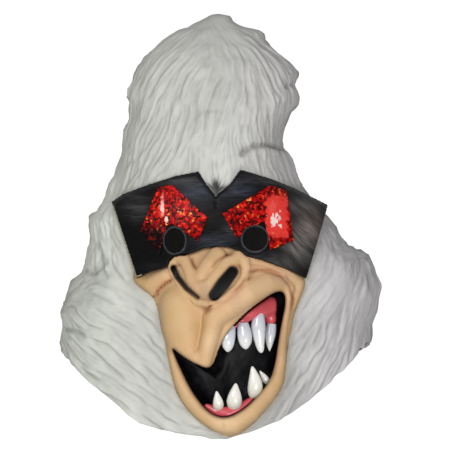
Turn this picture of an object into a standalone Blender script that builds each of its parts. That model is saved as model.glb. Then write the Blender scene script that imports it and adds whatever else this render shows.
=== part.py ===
"""Over-the-head gorilla mask: a hollow latex hood of sculpted white fur, a snarling face let into its
front, a raised black eye mask with foil patches, and a black mouth pocket with gums and teeth.

The frame: +X to the viewer's right, the face looks along -Y, +Z up. The origin is where the crown of
the wearer's head sits. Tables hold places as shares of the hood's own sizes: across is a share of
HOOD_WIDTH from the middle, up a share of HOOD_HEIGHT above the lowest point of the rim.
"""

import math

import bmesh
import bpy
from mathutils import Vector

# Driving sizes, in metres.
HOOD_WIDTH = 0.272
HOOD_HEIGHT = 0.362
HOOD_DEPTH = 0.236
SEAT_HEIGHT = 0.290  # crown of the head above the lowest point of the rim
LATEX_WALL = 0.0025
FUR_RISE = 0.0022  # crest to groove of the sculpted locks
MUZZLE_RISE = 0.030  # how far the muzzle stands out of the head's own curve
LIP_ROLL = 0.006  # how far the lip turns back into the mouth
LIP_RADIUS = 0.007  # width of that turn, seen from the front
SKIRT_DEPTH = 0.003  # how far the face reaches behind the inside of the hood
EYE_MASK_WALL = 0.004
EYE_MASK_SEAT = 0.0005  # how far the face is set back under the eye mask
EYE_HOLE_DIAMETER = 0.021
FOIL_WALL = 0.0008
FOIL_EDGE_MARGIN = 0.001  # foil is cut back this far from the eye hole
MOUTH_DEPTH = 0.014  # the pocket's end behind the rearmost point of the lips
MOUTH_NARROWING = 0.12  # share by which the pocket's end is narrower than the mouth
LINING_WALL = 0.002
NOSTRIL_DEPTH = 0.009
GUM_THICKNESS = 0.012
GUM_SETBACK = 0.011  # middle of the gum behind the front of the lips
TOOTH_ROOT = 0.002  # length of a tooth past the middle of its gum, before it is trimmed to it
TOOTH_SETBACK = 0.007  # tip of a tooth behind the front of the lips
TOOTH_LEAN = 0.3  # root of a tooth behind its tip, as a share of its width
TOOTH_FLATNESS = 0.8  # thickness of a tooth as a share of its width
GAP = 0.0003  # between pieces that touch
EYE_MASK_GAP = 0.0009  # nominal, between the brow and the eye mask; facets on both sides take most of it
EYE_MASK_BEND = 0.985  # the eye mask bends a little less than the brow
FOIL_GAP = 0.0009  # nominal, between the eye mask and the foil

# Fineness of the faceted model.
HOOD_COLUMNS = 64
LOWER_RINGS = 2
RAY_STEP = math.radians(6)
FACE_RINGS = 8
EYE_MASK_STEP = 0.0075
EYE_MASK_ROWS = 5
FOIL_STEP = 0.010
EYE_HOLE_SIDES = 20
TOOTH_SIDES = 8
GUM_SIDES = 8
NOSTRIL_SIDES = 10
NOSTRIL_RINGS = 6
CLOSE_STEP = 1 / 3  # marks closer than this share of a step are taken as one
WIDE_STEP = 1.4  # a span up to this many steps long stays in one

HOOD_SQUARENESS = 2.4  # exponent of the horizontal sections: 2 is an ellipse
LOCK_COUNT = 16
LOCK_SWAY = 0.22
LOCK_WAVES = 9  # how fast the locks sway on their way up, in radians over the hood's height
BARE_BROW = (0.50, 0.40, 0.17)  # under the eye mask, no locks: up, half width across, half height
BARE_BROW_FADE = (1.15, 1.75)  # the locks start and are full at these shares of it, squared
SHOULDER_UP = 0.318  # below this height the rings slope to the rim
BROW_UP = 0.586  # above this height the wall is drawn in towards the brow
TANGENT_FROM = 0.78  # past this share of the half width the brow line runs on straight
NOSE_RAMP = 0.030  # share of HOOD_HEIGHT over which the nose rises from the eye mask's lower edge
ROLL_SHARE = 0.35  # most that a lip's turn or the skirt's wall takes of a narrow face band
LIP_CREST = (0.35, 0.24)  # a point of the lip's turn: share of its width, share of its depth
CORNER_SLACK = 1e-4  # share of an edge by which a ray may miss its end, for rounding
STEEPEST_RAY = 0.5  # least sine between a ray and an outline that an offset allows for
CUT_DEPTHS = (0.1 * HOOD_DEPTH, HOOD_DEPTH)  # where a cutter through the front starts and ends
MOUTH_MIDDLE = (0.016, 0.128)  # across, up: every mouth and face point is seen from here

# Sections of the hood: up, left and right of the middle (shares of HOOD_WIDTH), ahead of and
# behind the seat (shares of HOOD_DEPTH).
HOOD_SECTIONS = [
    (0.000, -0.506, 0.381, 0.415, 0.500),
    (0.081, -0.509, 0.394, 0.424, 0.496),
    (0.152, -0.509, 0.412, 0.432, 0.487),
    (0.222, -0.500, 0.441, 0.441, 0.479),
    (0.269, -0.494, 0.469, 0.445, 0.475),
    (0.318, -0.487, 0.487, 0.449, 0.475),
    (0.356, -0.469, 0.500, 0.453, 0.479),
    (0.398, -0.428, 0.480, 0.458, 0.487),
    (0.431, -0.414, 0.440, 0.462, 0.492),
    (0.455, -0.410, 0.405, 0.464, 0.496),
    (0.525, -0.395, 0.332, 0.462, 0.500),
    (0.552, -0.380, 0.306, 0.458, 0.500),
    (0.586, -0.358, 0.270, 0.450, 0.500),
    (0.633, -0.326, 0.228, 0.436, 0.492),
    (0.680, -0.306, 0.200, 0.416, 0.483),
    (0.727, -0.297, 0.206, 0.394, 0.466),
    (0.787, -0.288, 0.232, 0.362, 0.432),
    (0.835, -0.287, 0.238, 0.326, 0.386),
    (0.882, -0.250, 0.222, 0.280, 0.322),
    (0.920, -0.206, 0.159, 0.229, 0.254),
    (0.953, -0.150, 0.128, 0.153, 0.178),
    (0.976, -0.087, 0.056, 0.093, 0.110),
    (0.993, -0.044, 0.034, 0.051, 0.059),
]

# The rim at the neck: angle from the front in degrees, positive to the right, and up.
RIM = [
    (-180, 0.178),
    (-150, 0.182),
    (-120, 0.196),
    (-100, 0.214),
    (-90, 0.221),
    (-75, 0.194),
    (-60, 0.154),
    (-45, 0.100),
    (-30, 0.046),
    (-15, 0.016),
    (0, 0.000),
    (15, 0.018),
    (30, 0.050),
    (45, 0.105),
    (60, 0.161),
    (75, 0.204),
    (90, 0.221),
    (100, 0.214),
    (120, 0.196),
    (150, 0.182),
    (180, 0.178),
]

# Outlines seen from the front: across, up.
FACE_OUTLINE = [
    (-0.278, 0.377),
    (-0.237, 0.351),
    (-0.206, 0.328),
    (-0.195, 0.300),
    (-0.180, 0.248),
    (-0.170, 0.220),
    (-0.160, 0.173),
    (-0.141, 0.112),
    (-0.106, 0.070),
    (-0.037, 0.027),
    (0.037, 0.013),
    (0.103, 0.034),
    (0.147, 0.072),
    (0.194, 0.114),
    (0.209, 0.168),
    (0.217, 0.229),
    (0.231, 0.300),
    (0.263, 0.351),
    (0.268, 0.373),
    (0.265, 0.445),
    (0.237, 0.511),
    (0.109, 0.530),
    (-0.009, 0.535),
    (-0.125, 0.530),
    (-0.234, 0.511),
    (-0.262, 0.445),
]
MOUTH_OUTLINE = [
    (-0.147, 0.218),
    (-0.125, 0.203),
    (-0.094, 0.186),
    (-0.056, 0.171),
    (-0.028, 0.170),
    (-0.013, 0.187),
    (0.006, 0.229),
    (0.034, 0.262),
    (0.084, 0.300),
    (0.144, 0.333),
    (0.178, 0.348),
    (0.200, 0.344),
    (0.204, 0.323),
    (0.188, 0.276),
    (0.178, 0.229),
    (0.169, 0.173),
    (0.153, 0.140),
    (0.109, 0.100),
    (0.066, 0.071),
    (0.019, 0.056),
    (-0.019, 0.060),
    (-0.050, 0.079),
    (-0.091, 0.128),
    (-0.122, 0.173),
    (-0.138, 0.203),
]
EYE_MASK_TOP = [
    (-0.339, 0.558),
    (-0.244, 0.600),
    (-0.156, 0.620),
    (-0.059, 0.631),
    (-0.034, 0.603),
    (-0.011, 0.572),
    (0.019, 0.596),
    (0.062, 0.635),
    (0.156, 0.612),
    (0.250, 0.584),
    (0.338, 0.553),
]
EYE_MASK_BOTTOM = [
    (-0.263, 0.384),
    (-0.206, 0.394),
    (-0.162, 0.410),
    (-0.150, 0.430),
    (-0.131, 0.438),
    (-0.106, 0.436),
    (-0.088, 0.429),
    (-0.075, 0.442),
    (-0.053, 0.450),
    (-0.009, 0.455),
    (0.037, 0.448),
    (0.062, 0.442),
    (0.084, 0.426),
    (0.131, 0.417),
    (0.188, 0.401),
    (0.266, 0.375),
]
# Eye holes: name, across, up.
EYE_HOLES = [
    ("left", -0.142, 0.471),
    ("right", 0.106, 0.475),
]
# Foil patches, bent strips: outer edge across, up and inner edge across, up, end to end.
FOILS = {
    "left": [
        (-0.247, 0.483, -0.191, 0.436),
        (-0.197, 0.586, -0.152, 0.508),
        (-0.156, 0.597, -0.147, 0.508),
        (-0.041, 0.523, -0.072, 0.467),
    ],
    "right": [
        (0.003, 0.532, 0.050, 0.479),
        (0.159, 0.596, 0.126, 0.510),
        (0.206, 0.582, 0.131, 0.510),
        (0.228, 0.471, 0.159, 0.450),
    ],
}

# Forms of the face: from and to (across, up), radius (share of HOOD_WIDTH), rise (share of
# MUZZLE_RISE). The muzzle itself lies under the eye mask too; the others stand on it below.
MUZZLE_FORM = (-0.006, 0.328, 0.019, 0.093, 0.297, 1.00)
FACE_FORMS = [
    (-0.012, 0.431, -0.053, 0.370, 0.084, 0.46),  # back of the nose
    (-0.131, 0.412, -0.062, 0.354, 0.042, 0.30),  # left wing
    (-0.047, 0.354, 0.062, 0.412, 0.048, 0.34),  # right wing
    (0.081, 0.400, 0.037, 0.345, 0.032, 0.22),  # outer rim of the right nostril
    (-0.112, 0.322, -0.112, 0.225, 0.094, 0.24),  # left cheek
    (-0.022, 0.222, 0.025, 0.300, 0.053, 0.16),  # middle of the upper lip
    (0.025, 0.300, 0.197, 0.368, 0.056, 0.16),  # raised upper lip
    (-0.144, 0.186, -0.100, 0.092, 0.037, 0.14),  # lower lip, left
    (-0.100, 0.092, 0.006, 0.032, 0.045, 0.14),
    (0.006, 0.032, 0.112, 0.066, 0.050, 0.14),  # chin
    (0.112, 0.066, 0.187, 0.158, 0.040, 0.14),
    (0.187, 0.158, 0.216, 0.300, 0.037, 0.14),  # lower lip, right
]
# Nostrils: middle (across, up), half length and half width (shares of HOOD_WIDTH), slant in degrees.
NOSTRILS = [
    (0.012, 0.368, 0.066, 0.021, 50),
    (-0.106, 0.369, 0.060, 0.008, -52),
]

# Gums: across, up and radius (share of HOOD_WIDTH) along each bar.
UPPER_GUM = [
    (0.010, 0.236, 0.022),
    (0.062, 0.277, 0.026),
    (0.113, 0.303, 0.032),
    (0.150, 0.312, 0.038),
    (0.184, 0.316, 0.038),
]
LOWER_GUM = [
    (-0.052, 0.082, 0.014),
    (-0.020, 0.068, 0.018),
    (0.019, 0.064, 0.020),
    (0.062, 0.074, 0.020),
    (0.118, 0.104, 0.018),
    (0.152, 0.134, 0.016),
]
# Teeth: name, root across, up, tip across, up, width (share of HOOD_WIDTH).
TEETH = [
    ("upper_tooth_1", 0.032, 0.257, 0.021, 0.207, 0.037),
    ("upper_tooth_2", 0.073, 0.268, 0.084, 0.214, 0.043),
    ("upper_tooth_3", 0.122, 0.298, 0.130, 0.205, 0.043),
    ("upper_tooth_4", 0.162, 0.292, 0.154, 0.209, 0.032),
    ("lower_tooth_1", -0.007, 0.072, -0.016, 0.117, 0.033),
    ("lower_tooth_2", 0.044, 0.075, 0.047, 0.136, 0.045),
    ("lower_tooth_3", 0.112, 0.104, 0.100, 0.175, 0.042),
    ("lower_tooth_4", 0.146, 0.134, 0.127, 0.166, 0.020),
]
# Shape of a tooth: share of its length from the root, share of its width.
TOOTH_PROFILE = [
    (0.00, 0.80),
    (0.32, 1.00),
    (0.62, 0.84),
    (0.84, 0.50),
    (0.97, 0.20),
]

# Plain colours: name, red, green, blue, roughness.
MATERIALS = {
    "fur_latex": (0.72, 0.72, 0.69, 0.60),
    "skin_latex": (0.78, 0.57, 0.38, 0.50),
    "black_latex": (0.03, 0.03, 0.035, 0.40),
    "red_foil": (0.75, 0.02, 0.02, 0.20),
    "gum_latex": (0.62, 0.10, 0.14, 0.40),
    "tooth_resin": (0.88, 0.88, 0.85, 0.25),
}


def share_point(across, up):
    """Front-view place (x, z) of a table's across and up."""
    return Vector((across * HOOD_WIDTH, up * HOOD_HEIGHT - SEAT_HEIGHT))


def row_at(table, key):
    """Columns of a table at key, straight between its rows."""
    if key <= table[0][0]:
        return table[0][1:]
    for low, high in zip(table, table[1:]):
        if key <= high[0]:
            t = (key - low[0]) / (high[0] - low[0])
            return tuple(a + (b - a) * t for a, b in zip(low[1:], high[1:]))
    return table[-1][1:]


def smooth(t):
    t = min(1.0, max(0.0, t))
    return t * t * (3 - 2 * t)


def up_of(z):
    return (z + SEAT_HEIGHT) / HOOD_HEIGHT


def section_sizes(z):
    """Left, right, ahead and behind of the hood at height z, in metres."""
    left, right, ahead, behind = row_at(HOOD_SECTIONS, up_of(z))
    return -left * HOOD_WIDTH, right * HOOD_WIDTH, ahead * HOOD_DEPTH, behind * HOOD_DEPTH


def front_depth(x, z):
    """How far the head's own curve stands ahead of the seat at a front-view place."""
    left, right, ahead, _ = section_sizes(z)
    half = right if x > 0 else left
    n = HOOD_SQUARENESS
    q = abs(x) / half
    held = min(q, TANGENT_FROM)
    inside = 1 - held**n
    slope = -ahead * held ** (n - 1) * inside ** (1 / n - 1)
    return ahead * inside ** (1 / n) + slope * (q - held)


def form_rise(form, x, z):
    """Rise of one rounded form at (x, z): full on its line, nothing past its radius."""
    a0, u0, a1, u1, radius, rise = form
    a, b, p = share_point(a0, u0), share_point(a1, u1), Vector((x, z))
    along = min(1.0, max(0.0, (p - a).dot(b - a) / (b - a).length_squared))
    q = (p - a.lerp(b, along)).length / (radius * HOOD_WIDTH)
    return rise * MUZZLE_RISE * (1 - q * q) ** 2 if q < 1 else 0.0


def below_eye_mask(x, z):
    """0 under the eye mask, 1 a little below its lower edge."""
    edge = row_at(EYE_MASK_BOTTOM, x / HOOD_WIDTH)[0]
    return smooth((edge - up_of(z)) / NOSE_RAMP)


def muzzle_depth(x, z):
    """Depth of the plain muzzle, with no nose or lips on it."""
    return front_depth(x, z) + form_rise(MUZZLE_FORM, x, z)


def face_depth(x, z):
    forms = sum(form_rise(form, x, z) for form in FACE_FORMS)
    below = below_eye_mask(x, z)
    return muzzle_depth(x, z) + forms * below - EYE_MASK_SEAT * (1 - below)


def make_material(name):
    red, green, blue, roughness = MATERIALS[name]
    material = bpy.data.materials.get(name) or bpy.data.materials.new(name)
    material.use_nodes = True
    shader = material.node_tree.nodes["Principled BSDF"]
    shader.inputs["Base Color"].default_value = (red, green, blue, 1)
    shader.inputs["Roughness"].default_value = roughness
    material.diffuse_color = (red, green, blue, 1)
    return material


def mesh_object(name, points, faces, material=None):
    """A mesh object with its faces turned outwards; one with no material is a hidden cutter."""
    mesh = bpy.data.meshes.new(name)
    mesh.from_pydata([tuple(p) for p in points], [], faces)
    shape = bmesh.new()
    shape.from_mesh(mesh)
    bmesh.ops.recalc_face_normals(shape, faces=shape.faces)
    shape.to_mesh(mesh)
    shape.free()
    made = bpy.data.objects.new(name, mesh)
    bpy.context.scene.collection.objects.link(made)
    if material:
        mesh.materials.append(make_material(material))
        mesh.shade_smooth()
    else:
        made.hide_render = True
        made.display_type = "WIRE"
    return made


def ring_solid(name, rings, material=None, closed=False):
    """Rings of equal count joined side by side, into a loop or with a cap on each end."""
    count = len(rings[0])
    points = [p for ring in rings for p in ring]
    pairs = list(zip(range(len(rings)), range(1, len(rings))))
    if closed:
        pairs.append((len(rings) - 1, 0))
    faces = []
    for first, second in pairs:
        for i in range(count):
            j = (i + 1) % count
            a, b, c, d = first * count + i, first * count + j, second * count + j, second * count + i
            faces += [(a, b, c), (a, c, d)]
    if not closed:
        faces.append(tuple(range(count)))
        faces.append(tuple(range((len(rings) - 1) * count, len(rings) * count)))
    return mesh_object(name, points, faces, material)


def grid_edge(columns, rows):
    """Places (column, row) round the edge of a grid, in order."""
    edge = [(c, 0) for c in range(columns)]
    edge += [(columns - 1, r) for r in range(1, rows)]
    edge += [(c, rows - 1) for c in reversed(range(columns - 1))]
    edge += [(0, r) for r in reversed(range(1, rows - 1))]
    return edge


def slab_solid(name, grid, back_of, front_of, material=None):
    """A curved plate over a grid of front-view places, between two depths."""
    columns, rows = len(grid), len(grid[0])
    points = [Vector((p.x, -depth(p.x, p.y), p.y)) for depth in (back_of, front_of) for c in grid for p in c]
    layer = columns * rows

    def corner(c, r, side):
        return side * layer + c * rows + r

    faces = []
    for c in range(columns - 1):
        for r in range(rows - 1):
            for side in (0, 1):
                low, right = corner(c, r, side), corner(c + 1, r, side)
                far, up = corner(c + 1, r + 1, side), corner(c, r + 1, side)
                faces += [(low, right, far), (low, far, up)]
    edge = grid_edge(columns, rows)
    for a, b in zip(edge, edge[1:] + edge[:1]):
        faces.append((corner(*a, 0), corner(*b, 0), corner(*b, 1), corner(*a, 1)))
    return mesh_object(name, points, faces, material)


def boolean(target, cutter, operation="DIFFERENCE"):
    modifier = target.modifiers.new(f"{operation.lower()} {cutter.name}", "BOOLEAN")
    modifier.operation = operation
    modifier.solver = "EXACT"
    modifier.object = cutter


def offset_loop(loop, distance):
    """A closed front-view loop moved outwards by distance, square to its own edges."""
    area = sum(a.x * b.y - b.x * a.y for a, b in zip(loop, loop[1:] + loop[:1]))
    side = 1 if area > 0 else -1
    moved = []
    for before, here, after in zip(loop[-1:] + loop[:-1], loop, loop[1:] + loop[:1]):
        first = (here - before).normalized()
        second = (after - here).normalized()
        normal = Vector((first.y + second.y, -first.x - second.x)).normalized() * side
        square = abs(normal.dot(Vector((first.y, -first.x))))
        moved.append(here + normal * distance / max(square, STEEPEST_RAY))
    return moved


def spread_loop(loop, distance):
    """A loop seen from the mouth's middle, moved outwards by distance; each point keeps its ray."""
    moved = []
    for before, here, after in zip(loop[-1:] + loop[:-1], loop, loop[1:] + loop[:1]):
        ray = (here - MIDDLE).normalized()
        along = (after - before).normalized()
        square = abs(ray.x * along.y - ray.y * along.x)
        moved.append(here + ray * distance / max(square, STEEPEST_RAY))
    return moved


def ray_angles():
    """Directions from the mouth's middle: through each corner of both outlines, and evenly between."""
    corners = [share_point(*row) - MIDDLE for row in FACE_OUTLINE + MOUTH_OUTLINE]
    found = sorted(math.atan2(p.y, p.x) for p in corners)
    kept = []
    for angle in found:
        if not kept or angle - kept[-1] > RAY_STEP * CLOSE_STEP:
            kept.append(angle)
    filled = []
    for angle, after in zip(kept, kept[1:] + [kept[0] + 2 * math.pi]):
        steps = math.ceil((after - angle) / (RAY_STEP * WIDE_STEP))
        filled += [angle + (after - angle) * k / steps for k in range(steps)]
    return filled


def seen_on(outline, angle):
    """Where the ray from the mouth's middle at this angle crosses an outline."""
    ray = Vector((math.cos(angle), math.sin(angle)))
    corners = [share_point(*row) - MIDDLE for row in outline]
    farthest = 0.0
    for a, b in zip(corners, corners[1:] + corners[:1]):
        edge = b - a
        across = ray.cross(edge)
        if across:
            along_ray, along_edge = a.cross(edge) / across, a.cross(ray) / across
            if -CORNER_SLACK <= along_edge <= 1 + CORNER_SLACK:
                farthest = max(farthest, along_ray)
    return MIDDLE + ray * farthest


# The face's outline and the mouth's, point for point on the same rays.
MIDDLE = share_point(*MOUTH_MIDDLE)
FACE_LOOP = [seen_on(FACE_OUTLINE, angle) for angle in ray_angles()]
MOUTH_LOOP = [seen_on(MOUTH_OUTLINE, angle) for angle in ray_angles()]


def lift(loop, depth):
    """A front-view loop as points in space, at the depth that a function gives."""
    return [Vector((p.x, -depth(p.x, p.y), p.y)) for p in loop]


def fur_rise(angle, up, across):
    """Height of the locks over the middle of the wall; none under the eye mask."""
    sway = LOCK_SWAY * math.sin(LOCK_WAVES * up + angle)
    lock = math.cos(LOCK_COUNT * (angle + sway))
    fade = 1.0
    if abs(angle) < math.pi / 2:
        middle, half_width, half_height = BARE_BROW
        start, full = BARE_BROW_FADE
        reach = (across / half_width) ** 2 + ((up - middle) / half_height) ** 2
        fade = smooth((reach - start) / (full - start))
    return lock * fade * FUR_RISE / 2


def hood_point(angle, z, wall=0.0):
    """A point of the hood: wall is 0 on the fur, and on the inside the wall's thickness."""
    left, right, ahead, behind = section_sizes(z)
    s, c = math.sin(angle), math.cos(angle)
    side = right if s > 0 else left
    end = ahead if c > 0 else behind
    if wall:
        side, end, z = inside_sizes(side, end, z, s > 0, c > 0, wall)
    else:
        rise = fur_rise(angle, up_of(z), side * s / HOOD_WIDTH)
        side, end = side + rise, end + rise
    power = 2 / HOOD_SQUARENESS
    x = math.copysign(abs(s) ** power, s) * side
    y = -math.copysign(abs(c) ** power, c) * end
    if c > 0:
        y -= form_rise(MUZZLE_FORM, x, z)
    return Vector((x, y, z))


def inside_sizes(side, end, z, to_right, to_front, wall):
    """Sizes of the inside: one wall less below the brow, and drawn in towards the brow above it."""
    brow = BROW_UP * HOOD_HEIGHT - SEAT_HEIGHT
    if z <= brow:
        return side - wall, end - wall, z
    left, right, ahead, behind = section_sizes(brow)
    top = HOOD_HEIGHT - SEAT_HEIGHT
    side *= 1 - wall / (right if to_right else left)
    end *= 1 - wall / (ahead if to_front else behind)
    return side, end, brow + (z - brow) * (1 - wall / (top - brow))


def hood_rings(columns, wall):
    """Rings from the rim to just under the top."""
    shoulder = SHOULDER_UP * HOOD_HEIGHT - SEAT_HEIGHT
    angles = [-math.pi + 2 * math.pi * i / columns for i in range(columns)]
    rims = [row_at(RIM, math.degrees(a))[0] * HOOD_HEIGHT - SEAT_HEIGHT for a in angles]
    rings = []
    for k in range(LOWER_RINGS):
        t = k / LOWER_RINGS
        rings.append([hood_point(a, r + (shoulder - r) * t, wall) for a, r in zip(angles, rims)])
    for up, *_ in HOOD_SECTIONS:
        if up >= SHOULDER_UP:
            z = up * HOOD_HEIGHT - SEAT_HEIGHT
            rings.append([hood_point(a, z, wall) for a in angles])
    return rings


def make_hood():
    """The fur hood: an outer skin and a smoother inner one with half its columns, joined at the rim."""
    points, faces = [], []

    def add_skin(rings, top_z):
        start, count = len(points), len(rings[0])
        points.extend(p for ring in rings for p in ring)
        for k in range(len(rings) - 1):
            for i in range(count):
                j = (i + 1) % count
                low, high = start + k * count, start + (k + 1) * count
                faces.append((low + i, low + j, high + j, high + i))
        last = start + (len(rings) - 1) * count
        middle = sum(rings[-1], Vector()) / count
        points.append(Vector((middle.x, middle.y, top_z)))
        apex = len(points) - 1
        faces.extend((last + i, last + (i + 1) % count, apex) for i in range(count))
        return start

    half = HOOD_COLUMNS // 2
    top = HOOD_HEIGHT - SEAT_HEIGHT
    outer_rim = add_skin(hood_rings(HOOD_COLUMNS, 0.0), top)
    inner_rim = add_skin(hood_rings(half, LATEX_WALL), top - LATEX_WALL)
    for i in range(half):
        a, b, c = (outer_rim + (2 * i + k) % HOOD_COLUMNS for k in range(3))
        d, e = inner_rim + i, inner_rim + (i + 1) % half
        faces += [(a, b, d), (b, e, d), (b, c, e)]
    return mesh_object("hood", points, faces, "fur_latex")


def make_opening_cutter():
    """The hole in the hood that the face's skirt passes through."""
    loop = spread_loop(FACE_LOOP, GAP)
    return ring_solid("hood_opening_cutter", [lift(loop, lambda x, z, d=d: d) for d in CUT_DEPTHS])


def span_points(fraction_of):
    """One loop between the mouth and the outline; fraction_of gives its place on each ray."""
    return [
        mouth.lerp(edge, fraction_of((edge - mouth).length)) for mouth, edge in zip(MOUTH_LOOP, FACE_LOOP)
    ]


def make_face():
    """The face: a front skin rolled in at the lips, a skirt into the hood, and a plain back."""

    def lip_share(length):
        return min(LIP_RADIUS / length, ROLL_SHARE)

    def inset_share(length):
        return 1 - min(LATEX_WALL / length, ROLL_SHARE)

    def lip(share):
        return span_points(lambda length: share * lip_share(length))

    def field(t, end_share=lambda length: 1.0):
        return span_points(lambda length: lip_share(length) * (1 - t) + end_share(length) * t)

    def skirt_depth(x, z):
        return muzzle_depth(x, z) - LATEX_WALL - SKIRT_DEPTH

    def back_depth(x, z):
        return muzzle_depth(x, z) - LATEX_WALL

    front = [
        lift(lip(0.0), lambda x, z: face_depth(x, z) - LIP_ROLL),
        lift(lip(LIP_CREST[0]), lambda x, z: face_depth(x, z) - LIP_ROLL * LIP_CREST[1]),
    ]
    front += [lift(field(k / FACE_RINGS), face_depth) for k in range(FACE_RINGS + 1)]
    back = [lift(FACE_LOOP, skirt_depth), lift(field(1.0, inset_share), skirt_depth)]
    back += [lift(field(t, inset_share), back_depth) for t in (1.0, 0.8, 0.6, 0.4, 0.2)]
    back += [
        lift(lip(1.0), lambda x, z: back_depth(x, z) - LIP_ROLL * 0.5),
        lift(lip(0.0), rim_back_depth),
    ]
    return ring_solid("face", front + back, "skin_latex", closed=True)


def rim_back_depth(x, z):
    """Where the lip's edge ends inside the mouth."""
    return muzzle_depth(x, z) - LIP_ROLL - LATEX_WALL


def mouth_ring(offset, share_in):
    """A loop of the mouth pocket: share_in is 0 at the lips and 1 at its end."""
    end = min(rim_back_depth(p.x, p.y) for p in MOUTH_LOOP) - MOUTH_DEPTH
    ring = []
    for p in spread_loop(MOUTH_LOOP, offset):
        rim = rim_back_depth(p.x, p.y) - GAP
        q = p.lerp(MIDDLE, MOUTH_NARROWING * share_in)
        ring.append(Vector((q.x, -(rim + (end - rim) * share_in), q.y)))
    return ring


def make_mouth_lining():
    """The black pocket behind the lips: a bowl, open to the front."""
    shares = (0.0, 0.5, 1.0)
    inner = [mouth_ring(0.0, s) for s in shares]
    outer = [mouth_ring(LINING_WALL, s) for s in shares]
    for p in outer[-1]:
        p.y += LINING_WALL
    return ring_solid("mouth_lining", inner[::-1] + outer, "black_latex")


def make_cavity_cutter():
    """The free space inside the pocket and ahead of it, where gums and teeth may stand."""
    rings = [mouth_ring(-GAP, s) for s in (1.0, 0.5, 0.0)]
    for p in rings[0]:
        p.y -= GAP
    rings.append([Vector((p.x, -HOOD_DEPTH, p.z)) for p in rings[-1]])
    return ring_solid("mouth_cavity_cutter", rings)


def make_tooth(name, root_across, root_up, tip_across, tip_up, width_share):
    """One tooth, from the middle of its gum to its tip."""
    root_place, tip_place = share_point(root_across, root_up), share_point(tip_across, tip_up)
    root_place += (root_place - tip_place).normalized() * TOOTH_ROOT
    depth = muzzle_depth(root_place.x, root_place.y) - TOOTH_SETBACK
    width = width_share * HOOD_WIDTH
    root = Vector((root_place.x, -(depth - width * TOOTH_LEAN), root_place.y))
    tip = Vector((tip_place.x, -depth, tip_place.y))
    axis = (tip - root).normalized()
    side = axis.cross(Vector((0, -1, 0))).normalized()
    ahead = side.cross(axis).normalized() * TOOTH_FLATNESS
    rings = []
    for along, share in TOOTH_PROFILE:
        centre = root.lerp(tip, along)
        radius = share * width / 2
        turns = [2 * math.pi * k / TOOTH_SIDES for k in range(TOOTH_SIDES)]
        rings.append([centre + (side * math.cos(t) + ahead * math.sin(t)) * radius for t in turns])
    return ring_solid(name, rings, "tooth_resin")


def make_gum(name, table, extra=0.0):
    """A gum: a bar along its table just behind the lips; extra makes it a cutter for its teeth."""
    places = [share_point(across, up) for across, up, _ in table]
    rings = []
    for i, place in enumerate(places):
        along = places[min(i + 1, len(places) - 1)] - places[max(i - 1, 0)]
        across = Vector((-along.y, along.x)).normalized()
        depth = muzzle_depth(place.x, place.y) - GUM_SETBACK
        radius = table[i][2] * HOOD_WIDTH + extra
        ring = []
        for k in range(GUM_SIDES):
            turn = 2 * math.pi * k / GUM_SIDES
            p = place + across * math.cos(turn) * radius
            ring.append(Vector((p.x, -depth - math.sin(turn) * (GUM_THICKNESS / 2 + extra), p.y)))
        rings.append(ring)
    return ring_solid(name, rings, None if extra else "gum_latex")


def eye_mask_grid(grow):
    """Front-view places over the eye mask; grow moves its whole outline outwards."""

    def marks(table):
        return [(row[0] - table[0][0]) / (table[-1][0] - table[0][0]) for row in table]

    def edge_at(table, mark):
        across = table[0][0] + (table[-1][0] - table[0][0]) * mark
        return share_point(across, row_at(table, across)[0])

    finest = EYE_MASK_STEP / HOOD_WIDTH
    kept = [0.0]
    for mark in sorted(marks(EYE_MASK_TOP) + marks(EYE_MASK_BOTTOM)):
        if mark - kept[-1] > finest * CLOSE_STEP:
            steps = math.ceil((mark - kept[-1]) / (finest * WIDE_STEP))
            first = kept[-1]
            kept += [first + (mark - first) * k / steps for k in range(1, steps + 1)]
    kept[-1] = 1.0
    rows = range(EYE_MASK_ROWS + 1)
    grid = []
    for mark in kept:
        low, top = edge_at(EYE_MASK_BOTTOM, mark), edge_at(EYE_MASK_TOP, mark)
        grid.append([low.lerp(top, r / EYE_MASK_ROWS) for r in rows])
    if grow:
        edge = grid_edge(len(grid), len(rows))
        for (c, r), p in zip(edge, offset_loop([grid[c][r] for c, r in edge], grow)):
            grid[c][r] = p
    return grid


def eye_mask_back(x, z):
    return muzzle_depth(x * EYE_MASK_BEND, z) + EYE_MASK_GAP


def eye_mask_front(x, z):
    return eye_mask_back(x, z) + EYE_MASK_WALL


def make_eye_mask():
    return slab_solid("eye_mask", eye_mask_grid(0.0), eye_mask_back, eye_mask_front, "black_latex")


def make_eye_mask_cutter():
    """What the eye mask keeps clear of the face behind it."""
    return slab_solid(
        "eye_mask_seat_cutter",
        eye_mask_grid(2 * GAP),
        lambda x, z: eye_mask_back(x, z) - EYE_MASK_GAP,
        lambda x, z: muzzle_depth(x, z) + MUZZLE_RISE * 2,
    )


def make_foil(name, table):
    """A bent strip of foil on the front of the eye mask."""
    ends = [(share_point(*row[:2]), share_point(*row[2:])) for row in table]
    rows = math.ceil(max((outer - inner).length for outer, inner in ends) / FOIL_STEP)
    places = []
    for (outer, inner), (next_outer, next_inner) in zip(ends, ends[1:] + ends[-1:]):
        steps = max(1, math.ceil((next_outer - outer).length / FOIL_STEP))
        for k in range(steps):
            a, b = outer.lerp(next_outer, k / steps), inner.lerp(next_inner, k / steps)
            places.append([a.lerp(b, r / rows) for r in range(rows + 1)])
    return slab_solid(
        name,
        places,
        lambda x, z: eye_mask_front(x, z) + FOIL_GAP,
        lambda x, z: eye_mask_front(x, z) + FOIL_GAP + FOIL_WALL,
        "red_foil",
    )


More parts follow.
